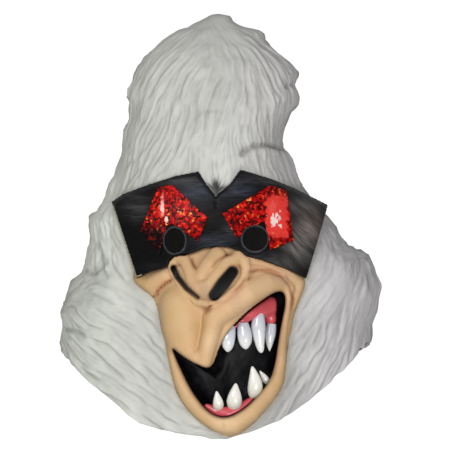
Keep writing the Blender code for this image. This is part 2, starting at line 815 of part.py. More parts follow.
def make_eye_cutter(name, across, up, radius):
    """A bar along Y that cuts an eye hole."""
    middle = share_point(across, up)
    loop = []
    for k in range(EYE_HOLE_SIDES):
        turn = 2 * math.pi * k / EYE_HOLE_SIDES
        loop.append(middle + Vector((math.cos(turn), math.sin(turn))) * radius)
    return ring_solid(name, [lift(loop, lambda x, z, d=d: d) for d in CUT_DEPTHS])


def make_nostril_cutter(name, across, up, half_length, half_width, slant):
    """An egg-shaped pit sunk into the nose."""
    place = share_point(across, up)
    shape = bmesh.new()
    bmesh.ops.create_uvsphere(shape, u_segments=NOSTRIL_SIDES, v_segments=NOSTRIL_RINGS, radius=1.0)
    points = [v.co.copy() for v in shape.verts]
    faces = [tuple(v.index for v in f.verts) for f in shape.faces]
    shape.free()
    turn = math.radians(slant)
    along = Vector((math.cos(turn), 0, math.sin(turn)))
    across_it = Vector((-math.sin(turn), 0, math.cos(turn)))
    centre = Vector((place.x, -face_depth(place.x, place.y), place.y))
    moved = []
    for p in points:
        flat = along * p.z * half_length + across_it * p.y * half_width
        moved.append(centre + flat * HOOD_WIDTH + Vector((0, p.x * NOSTRIL_DEPTH, 0)))
    return mesh_object(name, moved, faces)


def build():
    for old in list(bpy.data.objects):
        bpy.data.objects.remove(old)
    hood = make_hood()
    face = make_face()
    eye_mask = make_eye_mask()
    boolean(hood, make_opening_cutter())
    boolean(face, make_eye_mask_cutter())
    foils = {side: make_foil(f"foil_{side}", table) for side, table in FOILS.items()}
    for side, across, up in EYE_HOLES:
        hole = make_eye_cutter(f"eye_hole_{side}_cutter", across, up, EYE_HOLE_DIAMETER / 2)
        boolean(face, hole)
        boolean(eye_mask, hole)
        wider = EYE_HOLE_DIAMETER / 2 + FOIL_EDGE_MARGIN
        boolean(foils[side], make_eye_cutter(f"foil_{side}_cutter", across, up, wider))
    for number, row in enumerate(NOSTRILS, 1):
        boolean(face, make_nostril_cutter(f"nostril_{number}_cutter", *row))

    make_mouth_lining()
    cavity = make_cavity_cutter()
    for jaw, table in (("upper", UPPER_GUM), ("lower", LOWER_GUM)):
        gum = make_gum(f"{jaw}_gum", table)
        boolean(gum, cavity, "INTERSECT")
        gum_cutter = make_gum(f"{jaw}_gum_cutter", table, GAP)
        for name, *row in TEETH:
            if name.startswith(jaw):
                tooth = make_tooth(name, *row)
                boolean(tooth, cavity, "INTERSECT")
                boolean(tooth, gum_cutter)


build()
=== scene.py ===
"""Looks of an over-the-head gorilla mask: a cast latex hood of sculpted white fur, a painted snarling
face, a raised black eye mask with red foil patches, and a black mouth with gums and teeth.

Places in the tables are where a feature is seen in the photograph, in its pixels: across, then down.
"""

import itertools
import math
import random

import bpy
import numpy as np
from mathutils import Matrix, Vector
from mathutils.kdtree import KDTree


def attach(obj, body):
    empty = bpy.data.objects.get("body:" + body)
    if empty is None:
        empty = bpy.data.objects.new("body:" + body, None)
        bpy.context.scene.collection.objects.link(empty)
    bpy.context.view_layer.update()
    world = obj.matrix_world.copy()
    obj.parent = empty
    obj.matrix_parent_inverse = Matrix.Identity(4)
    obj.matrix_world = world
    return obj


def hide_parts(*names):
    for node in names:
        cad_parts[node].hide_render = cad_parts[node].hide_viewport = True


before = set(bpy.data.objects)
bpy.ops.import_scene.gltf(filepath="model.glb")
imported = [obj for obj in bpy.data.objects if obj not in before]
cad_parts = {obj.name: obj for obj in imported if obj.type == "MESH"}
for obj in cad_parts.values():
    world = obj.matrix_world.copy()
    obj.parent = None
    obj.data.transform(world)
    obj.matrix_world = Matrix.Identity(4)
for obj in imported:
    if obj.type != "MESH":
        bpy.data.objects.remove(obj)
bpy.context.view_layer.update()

# Head form. The pieces are cast over one carved head, and every one of them follows its curve.
# Its sections are flattened ovals: wide at the cheeks, narrow at the crest.

PIXEL = (0.00085, 0.00085076)
MIDDLE_PIXEL = (220, 439.5)
RIM_HEIGHT = -0.290
# Down the picture: distance ahead of and behind the head's middle, in metres.
HEAD_DEPTHS = np.array([
    (14.3, 0.0040, 0.0050),
    (17.0, 0.0120, 0.0139),
    (24.2, 0.0219, 0.0260),
    (34.0, 0.0361, 0.0420),
    (48.0, 0.0540, 0.0599),
    (64.2, 0.0661, 0.0760),
    (84.2, 0.0769, 0.0911),
    (104.6, 0.0854, 0.1020),
    (130.2, 0.0930, 0.1100),
    (150.2, 0.0982, 0.1140),
    (170.2, 0.1029, 0.1161),
    (190.2, 0.1062, 0.1180),
    (216.1, 0.1090, 0.1180),
    (245.9, 0.1095, 0.1170),
    (270.2, 0.1081, 0.1149),
    (304.2, 0.1060, 0.1121),
    (345.0, 0.1041, 0.1130),
    (374.8, 0.1020, 0.1149),
    (439.5, 0.0979, 0.1180),
])
OUTLINE_LEFT = np.array([
    (217, 14.3), (211, 15.4), (206.5, 18.8), (193, 24.8), (187.7, 29.5), (179.7, 31.5),
    (171.6, 36.2), (163.6, 41.8), (154.2, 49.6), (144.8, 57.9), (138.8, 67.0), (135.2, 73.7),
    (133.8, 81.7), (128.1, 89.1), (127.4, 96.5), (130.8, 103.8), (130.1, 113.9), (130.8, 121.2),
    (124.7, 129.9), (124.0, 140.7), (123.4, 148.7), (119.4, 162.1), (116.0, 175.5), (110.5, 183.7),
    (107.6, 195.2), (103.3, 205.2), (97.6, 212.2), (89.5, 215.7), (90.4, 226.7), (93.3, 238.2),
    (89.0, 249.7), (86.1, 264.0), (81.8, 274.0), (71.8, 282.7), (66.6, 298.5), (61.7, 312.8),
    (63.7, 327.2), (61.1, 341.5), (61.7, 352.0), (61.0, 380.0), (60.0, 439.5),
])
OUTLINE_RIGHT = np.array([
    (219, 14.3), (222.5, 15.2), (229.0, 16.2), (231.0, 18.1), (232.5, 22.0), (238.6, 26.1),
    (246.6, 29.4), (256.0, 30.8), (261.0, 32.8), (263.4, 35.5), (263.8, 40.2), (268.7, 46.2),
    (277.4, 53.6), (286.8, 60.3), (293.5, 67.0), (298.2, 73.4), (296.9, 78.4), (293.8, 84.4),
    (295.5, 89.8), (298.6, 96.5), (298.2, 102.5), (294.2, 107.8), (290.2, 111.2), (286.8, 120.6),
    (284.1, 129.9), (281.7, 140.7), (281.9, 148.7), (285.5, 159.4), (290.8, 171.5), (296.9, 179.5),
    (303.6, 192.9), (316.0, 206.0), (327.2, 219.6), (334.4, 228.2), (338.7, 238.2), (345.9, 246.8),
    (356.0, 251.5), (367.0, 254.5), (371.7, 264.0), (374.6, 272.7), (380.9, 285.6), (377.4, 298.5),
    (374.6, 312.8), (370.2, 324.3), (369.3, 340.0), (365.0, 380.0), (352.0, 439.5),
])
OUTLINE_SOFTNESS = 9.0
HEAD_SQUARENESS = 2.4
STRAIGHT_FROM = 0.78
MUZZLE_LINE = ((218.1, 299.9), (226.1, 399.9))
MUZZLE_REACH = 0.297 * 0.272
MUZZLE_RISE = 0.030


def seen(places):
    """Places in the picture as places seen from the front, in metres."""
    places = np.asarray(places, float)
    across = (places[..., 0] - MIDDLE_PIXEL[0]) * PIXEL[0]
    up = (MIDDLE_PIXEL[1] - places[..., 1]) * PIXEL[1] + RIM_HEIGHT
    return np.stack([across, up], -1)


def row_of(z):
    """How far down the picture a height is."""
    return MIDDLE_PIXEL[1] - (z - RIM_HEIGHT) / PIXEL[1]


def smooth(t):
    t = np.clip(t, 0.0, 1.0)
    return t * t * (3 - 2 * t)


ROWS = np.arange(-30.0, 480.0, 0.5)


def softened(values, softness):
    """A column of values down the picture, blurred along it."""
    reach = np.arange(-3 * softness, 3 * softness + 0.5, 0.5)
    weights = np.exp(-((reach / softness) ** 2))
    padded = np.pad(values, len(reach) // 2, mode="edge")
    return np.convolve(padded, weights / weights.sum(), mode="valid")[: len(values)]


def column(table, n):
    return np.interp(ROWS, table[:, 0], table[:, n])


sharp_left = (MIDDLE_PIXEL[0] - np.interp(ROWS, OUTLINE_LEFT[:, 1], OUTLINE_LEFT[:, 0])) * PIXEL[0]
sharp_right = (np.interp(ROWS, OUTLINE_RIGHT[:, 1], OUTLINE_RIGHT[:, 0]) - MIDDLE_PIXEL[0]) * PIXEL[0]
at_crown = smooth((ROWS - 16) / 50)
soft_left = softened(sharp_left, OUTLINE_SOFTNESS) * at_crown + sharp_left * (1 - at_crown)
soft_right = softened(sharp_right, OUTLINE_SOFTNESS) * at_crown + sharp_right * (1 - at_crown)
soft_ahead = softened(column(HEAD_DEPTHS, 1), 4) * at_crown + column(HEAD_DEPTHS, 1) * (1 - at_crown)
soft_behind = softened(column(HEAD_DEPTHS, 2), 4) * at_crown + column(HEAD_DEPTHS, 2) * (1 - at_crown)


def line_distance(points, line):
    """Distance from points to an open line of places, and how far along it the nearest one is."""
    line = np.asarray(line, float)
    best = np.full(points.shape[:-1], np.inf)
    where = np.zeros(points.shape[:-1])
    for k in range(len(line) - 1):
        edge = line[k + 1] - line[k]
        t = np.clip(((points - line[k]) @ edge) / max(edge @ edge, 1e-12), 0, 1)
        gap = np.linalg.norm(points - line[k] - t[..., None] * edge, axis=-1)
        nearer = gap < best
        best = np.where(nearer, gap, best)
        where = np.where(nearer, k + t, where)
    return best, where


def muzzle_rise(x, z):
    gap, _ = line_distance(np.stack([x, z], -1), seen(MUZZLE_LINE))
    q = np.clip(gap / MUZZLE_REACH, 0, 1)
    return MUZZLE_RISE * (1 - q * q) ** 2


def head_ahead(x, z):
    """How far the head's curve stands ahead of its middle at places seen from the front."""
    rows = row_of(z)
    half = np.where(x > 0, np.interp(rows, ROWS, soft_right), np.interp(rows, ROWS, soft_left))
    ahead = np.interp(rows, ROWS, soft_ahead)
    q = np.abs(x) / np.maximum(half, 1e-4)
    held = np.minimum(q, STRAIGHT_FROM)
    inside = 1 - held**HEAD_SQUARENESS
    slope = -ahead * held ** (HEAD_SQUARENESS - 1) * inside ** (1 / HEAD_SQUARENESS - 1)
    return ahead * inside ** (1 / HEAD_SQUARENESS) + slope * (q - held) + muzzle_rise(x, z)


# Fur hood. One hollow casting in white latex, its fur carved as long combed locks with grey in the
# grooves, partly paint wiped into them and partly painted shade. It has a face opening in front and is
# pulled on from below.

FACE_OUTLINE = [
    (131.0, 279.1), (144.2, 290.2), (154.1, 299.9), (157.6, 311.9), (162.4, 334.0), (165.6, 345.9),
    (168.8, 365.9), (174.9, 391.8), (186.1, 409.7), (208.2, 428.0), (231.8, 438.8), (253.0, 425.0),
    (267.0, 408.9), (282.1, 391.0), (286.9, 368.0), (289.4, 342.1), (293.9, 311.9), (304.2, 290.2),
    (305.8, 280.8), (304.8, 250.2), (295.8, 222.1), (254.9, 214.0), (217.1, 211.9), (180.0, 214.0),
    (145.1, 222.1), (136.2, 250.2),
]
EYE_MASK_OUTLINE = [
    (111.4, 201.8), (123.4, 193.6), (149.3, 184.2), (175.1, 175.9), (198.9, 171.4), (206.7, 183.7),
    (215.8, 195.5), (229.6, 183.7), (240.3, 169.5), (269.8, 178.2), (295.6, 188.4), (328.1, 204.4),
    (317.2, 241.1), (305.7, 278.4), (287.0, 268.6), (262.0, 259.5), (246.0, 255.5), (240.0, 250.5),
    (231.0, 248.0), (218.1, 246.0), (204.0, 248.3), (195.0, 252.0), (187.0, 254.5), (175.0, 256.0),
    (170.0, 260.5), (167.5, 266.5), (152.0, 271.5), (136.3, 277.5), (123.4, 238.2),
]
# How the fur is combed: place in the picture, then its direction across and down.
COMBING = np.array([
    (215, 20, 0.3, 1.0), (170, 45, -0.75, 1.0), (255, 45, 0.7, 1.0),
    (140, 85, -0.25, 1.0), (175, 80, -0.30, 1.0), (215, 75, -0.30, 1.0), (250, 75, -0.12, 1.0),
    (285, 80, 0.10, 1.0), (140, 125, -0.12, 1.0), (175, 120, -0.22, 1.0), (215, 115, -0.18, 1.0),
    (250, 115, 0.05, 1.0), (280, 120, -0.12, 1.0), (135, 160, -0.55, 1.0), (170, 155, -0.38, 1.0),
    (210, 160, 0.0, 1.0), (235, 160, 0.10, 1.0), (270, 160, 0.30, 1.0), (290, 172, 0.75, 1.0),
    (120, 190, -0.9, 1.0), (150, 178, -0.7, 1.0), (105, 215, 0.8, 1.0), (110, 235, 0.9, 1.0),
    (100, 255, 0.3, 1.0), (120, 258, 0.8, 1.0), (85, 285, 1.0, 0.15), (110, 290, 1.0, 0.20),
    (140, 305, 1.0, 0.45), (75, 310, 1.0, 0.30), (110, 320, 1.0, 0.32), (145, 335, 1.0, 0.45),
    (70, 340, 1.0, 0.10), (110, 350, 1.0, 0.42), (150, 360, 1.0, 0.60), (90, 370, 1.0, 0.45),
    (130, 390, 1.0, 0.55), (165, 400, 1.0, 0.60), (110, 395, 1.0, 0.55), (150, 420, 1.0, 0.40),
    (200, 432, 1.0, 0.15), (330, 235, -0.2, 1.0), (320, 255, -0.6, 1.0), (345, 262, -1.0, 0.45),
    (365, 270, -0.8, 0.9), (325, 285, -1.0, 0.7), (360, 300, -0.6, 1.0), (320, 310, -1.0, 1.0),
    (350, 325, -0.7, 1.0), (310, 340, -0.9, 1.0), (335, 345, -0.75, 1.0), (355, 345, -0.7, 1.0),
    (305, 370, -1.0, 0.9), (330, 370, -0.9, 0.9), (290, 395, -1.0, 0.75), (310, 400, -1.0, 0.75),
    (270, 422, -1.0, 0.4), (290, 412, -1.0, 0.6), (245, 434, -1.0, 0.15),
])
COMB_REACH = 22.0
# Folds in the casting: places along it, width and depth in metres.
FUR_CREASES = [
    ([(238, 160), (243, 152), (252, 147), (263, 146), (274, 148), (284, 152)], 0.0022, 0.0030),
    ([(83, 274), (97, 273), (106, 263), (101, 250), (97, 238)], 0.0018, 0.0016),
    ([(188, 132), (192, 121), (200, 114), (214, 111), (226, 112)], 0.0014, 0.0006),
    ([(62, 328), (76, 331), (90, 338)], 0.0016, 0.0018),
    ([(232, 22), (244, 33), (262, 41)], 0.0020, 0.0020),
    ([(371, 264), (368, 280), (372, 298), (366, 318)], 0.0018, 0.0014),
    ([(299, 86), (288, 86), (280, 90)], 0.0020, 0.0016),
]
FUR_ROLLS = [
    ([(243, 160), (254, 154), (266, 153), (278, 157), (288, 167)], 0.0075, 0.0030),
    ([(207, 19), (218, 16.5), (229, 18)], 0.0050, 0.0015),
]
# Black strokes at the roots of the brow hair, from root to tip.
BROW_ROOTS = [
    ((216, 194), (207, 181)), ((216, 194), (210.5, 176)), ((216, 194), (213.5, 172.5)),
    ((216, 194), (216.5, 175)), ((216, 194), (219.2, 172)), ((216, 194), (222.5, 177)),
    ((216, 194), (226.5, 181)), ((213, 190), (204.5, 180)), ((215.8, 198), (215.8, 184)),
    ((218, 192), (230, 183)), ((216, 194), (214.8, 178)), ((216, 194), (218, 179)),
]
LOCK_HEIGHT = 0.0016
STRAND_HEIGHT = 0.0007
HOOD_WALL = 0.0025
COLUMNS = 348
FRONT_CLOSENESS = 1.2
LOWER_RINGS, UPPER_RINGS = ((88, 192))
DEEPEST_GROOVE = 0.0014
BLOCK = 4
SHOULDER = 304.0
RIM_BEHIND = [(-180, 364), (-150, 362), (-120, 356), (-100, 349), (-90, 352), (90, 340), (100, 347),
              (120, 356), (150, 362), (180, 364)]


def lumps(points, cell, seed):
    """Smooth noise from -1 to 1, its bumps about one cell apart; the same on every run."""
    scaled = points / cell
    whole = np.floor(scaled).astype(np.int64)
    part = smooth(scaled - whole)
    total = np.zeros(points.shape[:-1])
    for corner in range(8):
        step = np.array([corner & 1, corner >> 1 & 1, corner >> 2])
        key = whole + step
        mixed = key[..., 0] * 73856093 ^ key[..., 1] * 19349663 ^ key[..., 2] * 83492791 ^ seed * 40503
        mixed = (mixed ^ mixed >> 13) * 1274126177 & 0x7FFFFFFF
        value = (mixed ^ mixed >> 11) & 0xFFFF
        weight = np.prod(np.where(step == 1, part, 1 - part), axis=-1)
        total += weight * (value / 32767.5 - 1)
    return total


def combed_direction(points):
    """The way the fur is combed at points near the front of the hood."""
    across = points[:, 0] / PIXEL[0] + MIDDLE_PIXEL[0]
    down = row_of(points[:, 2])
    gap = (across[:, None] - COMBING[:, 0]) ** 2 + (down[:, None] - COMBING[:, 1]) ** 2
    weight = np.exp(-gap / (2 * COMB_REACH**2)) + 1e-9
    # A lock runs both ways, so directions are averaged as doubled angles.
    turn = 2 * np.arctan2(-COMBING[:, 3], COMBING[:, 2])
    turn = np.arctan2(weight @ np.sin(turn), weight @ np.cos(turn)) / 2
    behind = smooth((points[:, 1] + 0.02) / 0.05)[:, None]
    way = np.stack([np.cos(turn), np.zeros(len(turn)), np.sin(turn)], -1)
    way *= np.where(way[:, 2:] > 0, -1, 1)
    return way * (1 - behind) + np.array([0.0, 0.0, -1.0]) * behind


def combed(points, normals, cell, length, seed, steps=14):
    """Noise drawn out along the combing, so that its bumps are locks of that length."""
    def along(places):
        way = combed_direction(places)
        way -= normals * np.sum(way * normals, axis=-1, keepdims=True)
        return way / np.maximum(np.linalg.norm(way, axis=-1, keepdims=True), 1e-6)

    total = lumps(points, cell, seed)
    for side in (-1, 1):
        place = points.copy()
        for k in range(steps // 2):
            place += along(place) * side * length / steps
            total += lumps(place, cell, seed)
    return total / total.std()


def polygon_distance(points, outline):
    """Distance to a closed outline: negative inside it."""
    outline = np.asarray(outline, float)
    closed = np.vstack([outline, outline[:1]])
    gap, _ = line_distance(points, closed)
    inside = np.zeros(points.shape[:-1], bool)
    for a, b in zip(closed[:-1], closed[1:]):
        if a[1] != b[1]:
            spans = (points[..., 1] < a[1]) != (points[..., 1] < b[1])
            at = a[0] + (points[..., 1] - a[1]) * (b[0] - a[0]) / (b[1] - a[1])
            inside ^= spans & (points[..., 0] < at)
    return np.where(inside, -gap, gap)


def rounded(outline, times=2, keep=0.25):
    """An outline with its corners cut, again and again."""
    outline = np.asarray(outline, float)
    for _ in range(times):
        after = np.roll(outline, -1, axis=0)
        cut = np.stack([outline + (after - outline) * keep, after + (outline - after) * keep], 1)
        outline = cut.reshape(-1, 2)
    return outline


def mesh_piece(name, points, faces, paint=None, smooth_shading=True):
    """A piece of the mask from its points and faces; paint is a colour for each point."""
    mesh = bpy.data.meshes.new(name)
    mesh.from_pydata(np.asarray(points).tolist(), [], [tuple(f) for f in faces])
    if paint is not None:
        layer = mesh.color_attributes.new("paint", "FLOAT_COLOR", "POINT")
        flat = np.ones((len(points), 4))
        flat[:, : paint.shape[1]] = np.clip(paint, 0, 1)
        layer.data.foreach_set("color", flat.ravel())
    if smooth_shading:
        mesh.shade_smooth()
    mesh.update()
    piece = bpy.data.objects.new(name, mesh)
    bpy.context.scene.collection.objects.link(piece)
    return piece


def blend(first, second, share):
    """Two colours, or sets of colours, mixed by a share for each point."""
    share = np.asarray(share)[..., None]
    return np.asarray(first) * (1 - share) + np.asarray(second) * share


def hood_angles():
    """Columns round the hood, from the middle of the back; they draw closer together towards the front."""
    fine = np.linspace(-math.pi, math.pi, 4001)
    power = 2 / HEAD_SQUARENESS
    across = np.sign(np.sin(fine)) * np.abs(np.sin(fine)) ** power * 0.115
    ahead = np.sign(np.cos(fine)) * np.abs(np.cos(fine)) ** power * 0.105
    run = np.concatenate([[0], np.cumsum(np.hypot(np.diff(across), np.diff(ahead)))])
    closeness = 1 + FRONT_CLOSENESS * smooth((0.36 - np.abs(run / run[-1] - 0.5)) / 0.26)
    share = np.concatenate([[0], np.cumsum(np.diff(run) * (closeness[1:] + closeness[:-1]) / 2)])
    return np.interp(np.linspace(0, share[-1], COLUMNS, endpoint=False), share, fine)


angles = hood_angles()
sine, cosine = np.sin(angles), np.cos(angles)
power = 2 / HEAD_SQUARENESS
across_share = np.sign(sine) * np.abs(sine) ** power
ahead_share = np.sign(cosine) * np.abs(cosine) ** power

# The rim's height round the hood: the picture's lower outline in front, a plain curve behind.
RIM_FRONT = np.array([
    (61.7, 352.0), (70.3, 361.0), (86.1, 377.4), (100.5, 390.3), (117.7, 403.2), (129.2, 413.3),
    (140.6, 421.3), (160.7, 427.8), (183.7, 432.0), (200.9, 434.8), (212.4, 437.8), (229.6, 437.4),
    (244.0, 433.0), (261.2, 428.2), (278.4, 421.9), (295.6, 413.3), (315.7, 399.0), (333.0, 381.7),
    (347.3, 364.5), (361.7, 347.3), (368.8, 340.0),
])
side_guess = np.where(sine > 0, 0.1268, 0.1346)
front_rim = np.interp(across_share * side_guess / PIXEL[0] + MIDDLE_PIXEL[0], *RIM_FRONT.T)
behind_rim = np.interp(np.degrees(angles), *np.array(RIM_BEHIND, float).T)
rim_row = np.where(cosine > 0, front_rim, behind_rim)

levels = []
for k in range(LOWER_RINGS):
    levels.append(rim_row + (SHOULDER - rim_row) * k / LOWER_RINGS)
top_rows = SHOULDER + (15.2 - SHOULDER) * np.linspace(0, 1, UPPER_RINGS)
for level in top_rows:
    levels.append(np.full(len(angles), level))
levels = np.array(levels)
ring_count, column_count = levels.shape
heights = seen(np.stack([np.zeros_like(levels), levels], -1))[..., 1]
widths = np.where(sine > 0, np.interp(levels, ROWS, soft_right), np.interp(levels, ROWS, soft_left))
depths = np.where(cosine > 0, np.interp(levels, ROWS, soft_ahead), np.interp(levels, ROWS, soft_behind))
base_x = across_share * widths
base_y = -ahead_share * depths
base_y -= np.where(cosine > 0, muzzle_rise(base_x, heights), 0)
extra_left = np.interp(levels, ROWS, sharp_left - soft_left)
extra_right = np.interp(levels, ROWS, sharp_right - soft_right)
extra = np.where(sine > 0, extra_right, extra_left)
at_side = np.exp(-((base_y / 0.028) ** 2)) * np.abs(across_share) ** 3
base_x += np.sign(sine) * extra * at_side
hood_grid = np.stack([base_x, base_y, heights], -1)

turned = np.roll(hood_grid, -1, axis=1) - np.roll(hood_grid, 1, axis=1)
rising = np.gradient(hood_grid, axis=0)
hood_normals = np.cross(turned, rising)
hood_normals /= np.maximum(np.linalg.norm(hood_normals, axis=-1, keepdims=True), 1e-9)

points = hood_grid.reshape(-1, 3)
normals = hood_normals.reshape(-1, 3)
flat = points[:, [0, 2]]
in_front = points[:, 1] < 0
face_gap = np.where(in_front, polygon_distance(flat, seen(FACE_OUTLINE)), 1.0)
plate_gap = np.where(in_front, polygon_distance(flat, seen(EYE_MASK_OUTLINE)), 1.0)

locks = combed(points, normals, 0.0050, 0.040, 2)
strands = combed(points, normals, 0.0022, 0.020, 3)
swells = lumps(points, 0.028, 4)
dents = lumps(points, 0.012, 5)

# The way a comb runs at every point of the hood, with a slow wave in it.
run = combed_direction(points)
run -= normals * np.sum(run * normals, axis=-1, keepdims=True)
run /= np.maximum(np.linalg.norm(run, axis=-1, keepdims=True), 1e-6)
at_back = smooth((points[:, 1] - 0.002) / 0.05)
waver = (0.42 * lumps(points, 0.020, 7) + 0.22 * lumps(points, 0.008, 8)) * (1 + 0.6 * at_back)
waver = waver[:, None]
run = run * np.cos(waver) + np.cross(normals, run) * np.sin(waver)
places_on_hood = KDTree(len(points))
for k, place in enumerate(points):
    places_on_hood.insert(place, k)
places_on_hood.balance()


def comb_lines(spacing, step, longest, seed, tries):
    """Lines drawn over the hood along its combing, none closer to another than the spacing."""
    chance = random.Random(seed)
    taken = {}

    def home(place):
        return tuple(math.floor(v / spacing) for v in place)

    def crowded(place, gap):
        i, j, k = home(place)
        around = itertools.product((i - 1, i, i + 1), (j - 1, j, j + 1), (k - 1, k, k + 1))
        return any((place - other).length < gap for cell in around for other in taken.get(cell, ()))

    lines = []
    for _ in range(tries):
        start = chance.randrange(len(points))
        if crowded(Vector(points[start]), spacing):
            continue
        reach = chance.uniform(0.35, 1.0) * longest
        ends = []
        for way in (-1, 1):
            index, end = start, []
            for _ in range(int(reach / step / 2)):
                ahead_of = Vector(points[index]) + Vector(run[index]) * (way * step)
                place, index, _ = places_on_hood.find(ahead_of)
                if crowded(place, spacing * 0.62):
                    break
                end.append(place)
            ends.append(end)
        line = ends[0][::-1] + [Vector(points[start])] + ends[1]
        if len(line) >= 4:
            for place in line:
                taken.setdefault(home(place), []).append(place)
            lines.append(np.array(line))
    return lines


def press_grooves(lines, depth, width, seed):
    """How deep each point lies in the grooves, and how much grey goes into them: paint and painted shade.

    A lock overlaps the next, so a groove is steep on one side and runs out slowly on the other.
    """
    chance = random.Random(seed)
    fall, lip, shade = np.zeros((3, len(points)))
    for line in lines:
        strength = chance.uniform(0.45, 1.0)
        # The locks are broader at the back, which nobody combs with care.
        wide = width * chance.uniform(0.8, 1.3) * (1 + 1.3 * smooth((line[:, 1].mean() - 0.002) / 0.05))
        steep = 1 if chance.random() < 0.7 else -1
        reach = wide * 5
        near = np.nonzero(((points > line.min(0) - reach) & (points < line.max(0) + reach)).all(1))[0]
        gap, along = line_distance(points[near], line)
        part = np.minimum(along.astype(int), len(line) - 2)
        edge = line[part + 1] - line[part]
        offset = points[near] - line[part] - edge * (along - part)[:, None]
        side = np.sum(np.cross(edge, offset) * normals[near], axis=-1) * steep
        ends = smooth(along / 2.0 + 0.1) * smooth((len(line) - 1 - along) / 2.0 + 0.1) * strength
        sharp = np.exp(-((gap / wide) ** 2))
        slow = np.exp(-gap / (wide * 2.2))
        fall[near] = np.maximum(fall[near], np.where(side > 0, sharp, slow) * ends * depth)
        raised = np.exp(-(((gap - wide * 2.2) / (wide * 1.3)) ** 2)) * (side > 0) * ends * depth
        lip[near] = np.maximum(lip[near], raised)
        shade[near] = np.maximum(shade[near], np.where(side > 0, sharp, 0.6 * slow + 0.4 * sharp) * ends)
    return fall - 0.45 * lip, shade


low_cheek = smooth((row_of(points[:, 2]) - 262) / 20)
long_lines = comb_lines(0.0088, 0.0040, 0.085, 1, 9000)
short_lines = comb_lines(0.0046, 0.0030, 0.036, 2, 16000)
long_fall, long_shade = press_grooves(long_lines, 0.0020, 0.0010, 3)
short_fall, short_shade = press_grooves(short_lines, 0.0010, 0.0008, 4)
short_share = 1 - 0.45 * low_cheek
# The fur is carved less deeply at the crown and high on the right cheek.
across, down = flat[:, 0] / PIXEL[0] + MIDDLE_PIXEL[0], row_of(flat[:, 1])
plain = 0.25 + 0.75 * smooth((down - 22) / 70)
plain *= 1 - 0.50 * np.exp(-(np.hypot((across - 330) / 32, (down - 290) / 38) ** 2)) * in_front
plain *= 1 - 0.25 * np.exp(-(np.hypot((across - 225) / 40, (down - 95) / 45) ** 2)) * in_front
fur_height = 0.0008 + LOCK_HEIGHT * 0.45 * np.tanh(locks * 0.8) + STRAND_HEIGHT * 0.35 * np.tanh(strands)
fur_height -= (long_fall + short_fall * short_share) * plain
fur_height += 0.0017 * swells + 0.0008 * dents
crease_shade = np.zeros(len(points))
facing = smooth((-points[:, 1] - 0.012) / 0.040)
for line, width, depth in FUR_CREASES:
    gap, along = line_distance(flat, seen(line))
    ends = smooth(along / 0.6) * smooth((len(line) - 1 - along) / 0.6)
    fur_height -= depth * np.exp(-((gap / width) ** 2)) * ends * facing
    held = np.exp(-((gap / width / 1.3) ** 2)) * ends * facing * min(1, depth / 0.0022)
    crease_shade = np.maximum(crease_shade, held)
for line, width, rise in FUR_ROLLS:
    gap, along = line_distance(flat, seen(line))
    fur_height += rise * np.exp(-((gap / width) ** 2)) * in_front
under = np.minimum(smooth((face_gap - 0.0005) / 0.004), smooth((plate_gap + 0.0005) / 0.0035))
fur_height *= 0.2 + 0.8 * smooth((down - 15) / 26)
fur_height = np.maximum(fur_height, -DEEPEST_GROOVE) * under - 0.0012 * (1 - smooth((face_gap + 0.001) / 0.003))
carved = points + normals * fur_height[:, None]

# Grey in the grooves and creases, partly paint wiped into them and partly painted shade.
groove = (0.64 * long_shade + 0.42 * short_shade * short_share) * plain * (1 - 0.35 * at_back) + 0.10 * smooth(-strands * 0.6)
groove = np.clip(groove + 0.85 * crease_shade, 0, 1)
# Painted light: a green-yellow cast to the left, and a mauve one, a little darker, to the right.
side_share = np.clip(points[:, 0] / 0.11, -1, 1)
fur_light = blend([0.70, 0.70, 0.665], [0.68, 0.70, 0.635], np.clip(-side_share * 1.1, 0, 1))
fur_light = blend(fur_light, [0.645, 0.625, 0.635], np.clip(side_share * 1.1, 0, 1))
fur_grey = blend([0.33, 0.325, 0.31], [0.31, 0.325, 0.28], np.clip(-side_share, 0, 1))
fur_paint = blend(fur_light, fur_grey, groove * 0.8)
fur_paint *= (1 + 0.06 * swells + 0.04 * lumps(points, 0.017, 6))[:, None]
for root, tip in BROW_ROOTS:
    gap, along = line_distance(flat, seen([root, tip]))
    stroke = np.exp(-((gap / (0.0015 * (1.15 - along))) ** 2)) * np.clip(2.0 - 2.0 * along, 0, 1) * in_front
    fur_paint = blend(fur_paint, [0.006, 0.006, 0.007], stroke)
plate_shade = np.exp(-np.clip(plate_gap, 0, 1) / 0.0035) * (0.5 + 0.16 * strands)
fur_paint = blend(fur_paint, [0.30, 0.29, 0.27], np.clip(plate_shade, 0, 1) * 0.6)
face_shade = np.exp(-np.clip(face_gap, 0, 1) / 0.003)
fur_paint = blend(fur_paint, [0.42, 0.38, 0.30], face_shade * 0.5)
# Painted shade: the fur darker towards its sides, as seen from the front, and a little darker over the back.
fur_paint *= (1 - 0.26 * smooth((points[:, 1] + 0.030) / 0.035) * (1 - 0.75 * at_back))[:, None]
# The crest is painted a little darker, and high on the left cheek the fur is painted lighter: painted light.
on_crest = smooth((185 - down) / 25)
upper_left = (1 - on_crest) * smooth((124 - across) / 14) * smooth((285 - down) / 30) * in_front
fur_paint *= (1 - 0.05 * on_crest + 0.22 * upper_left)[:, None]

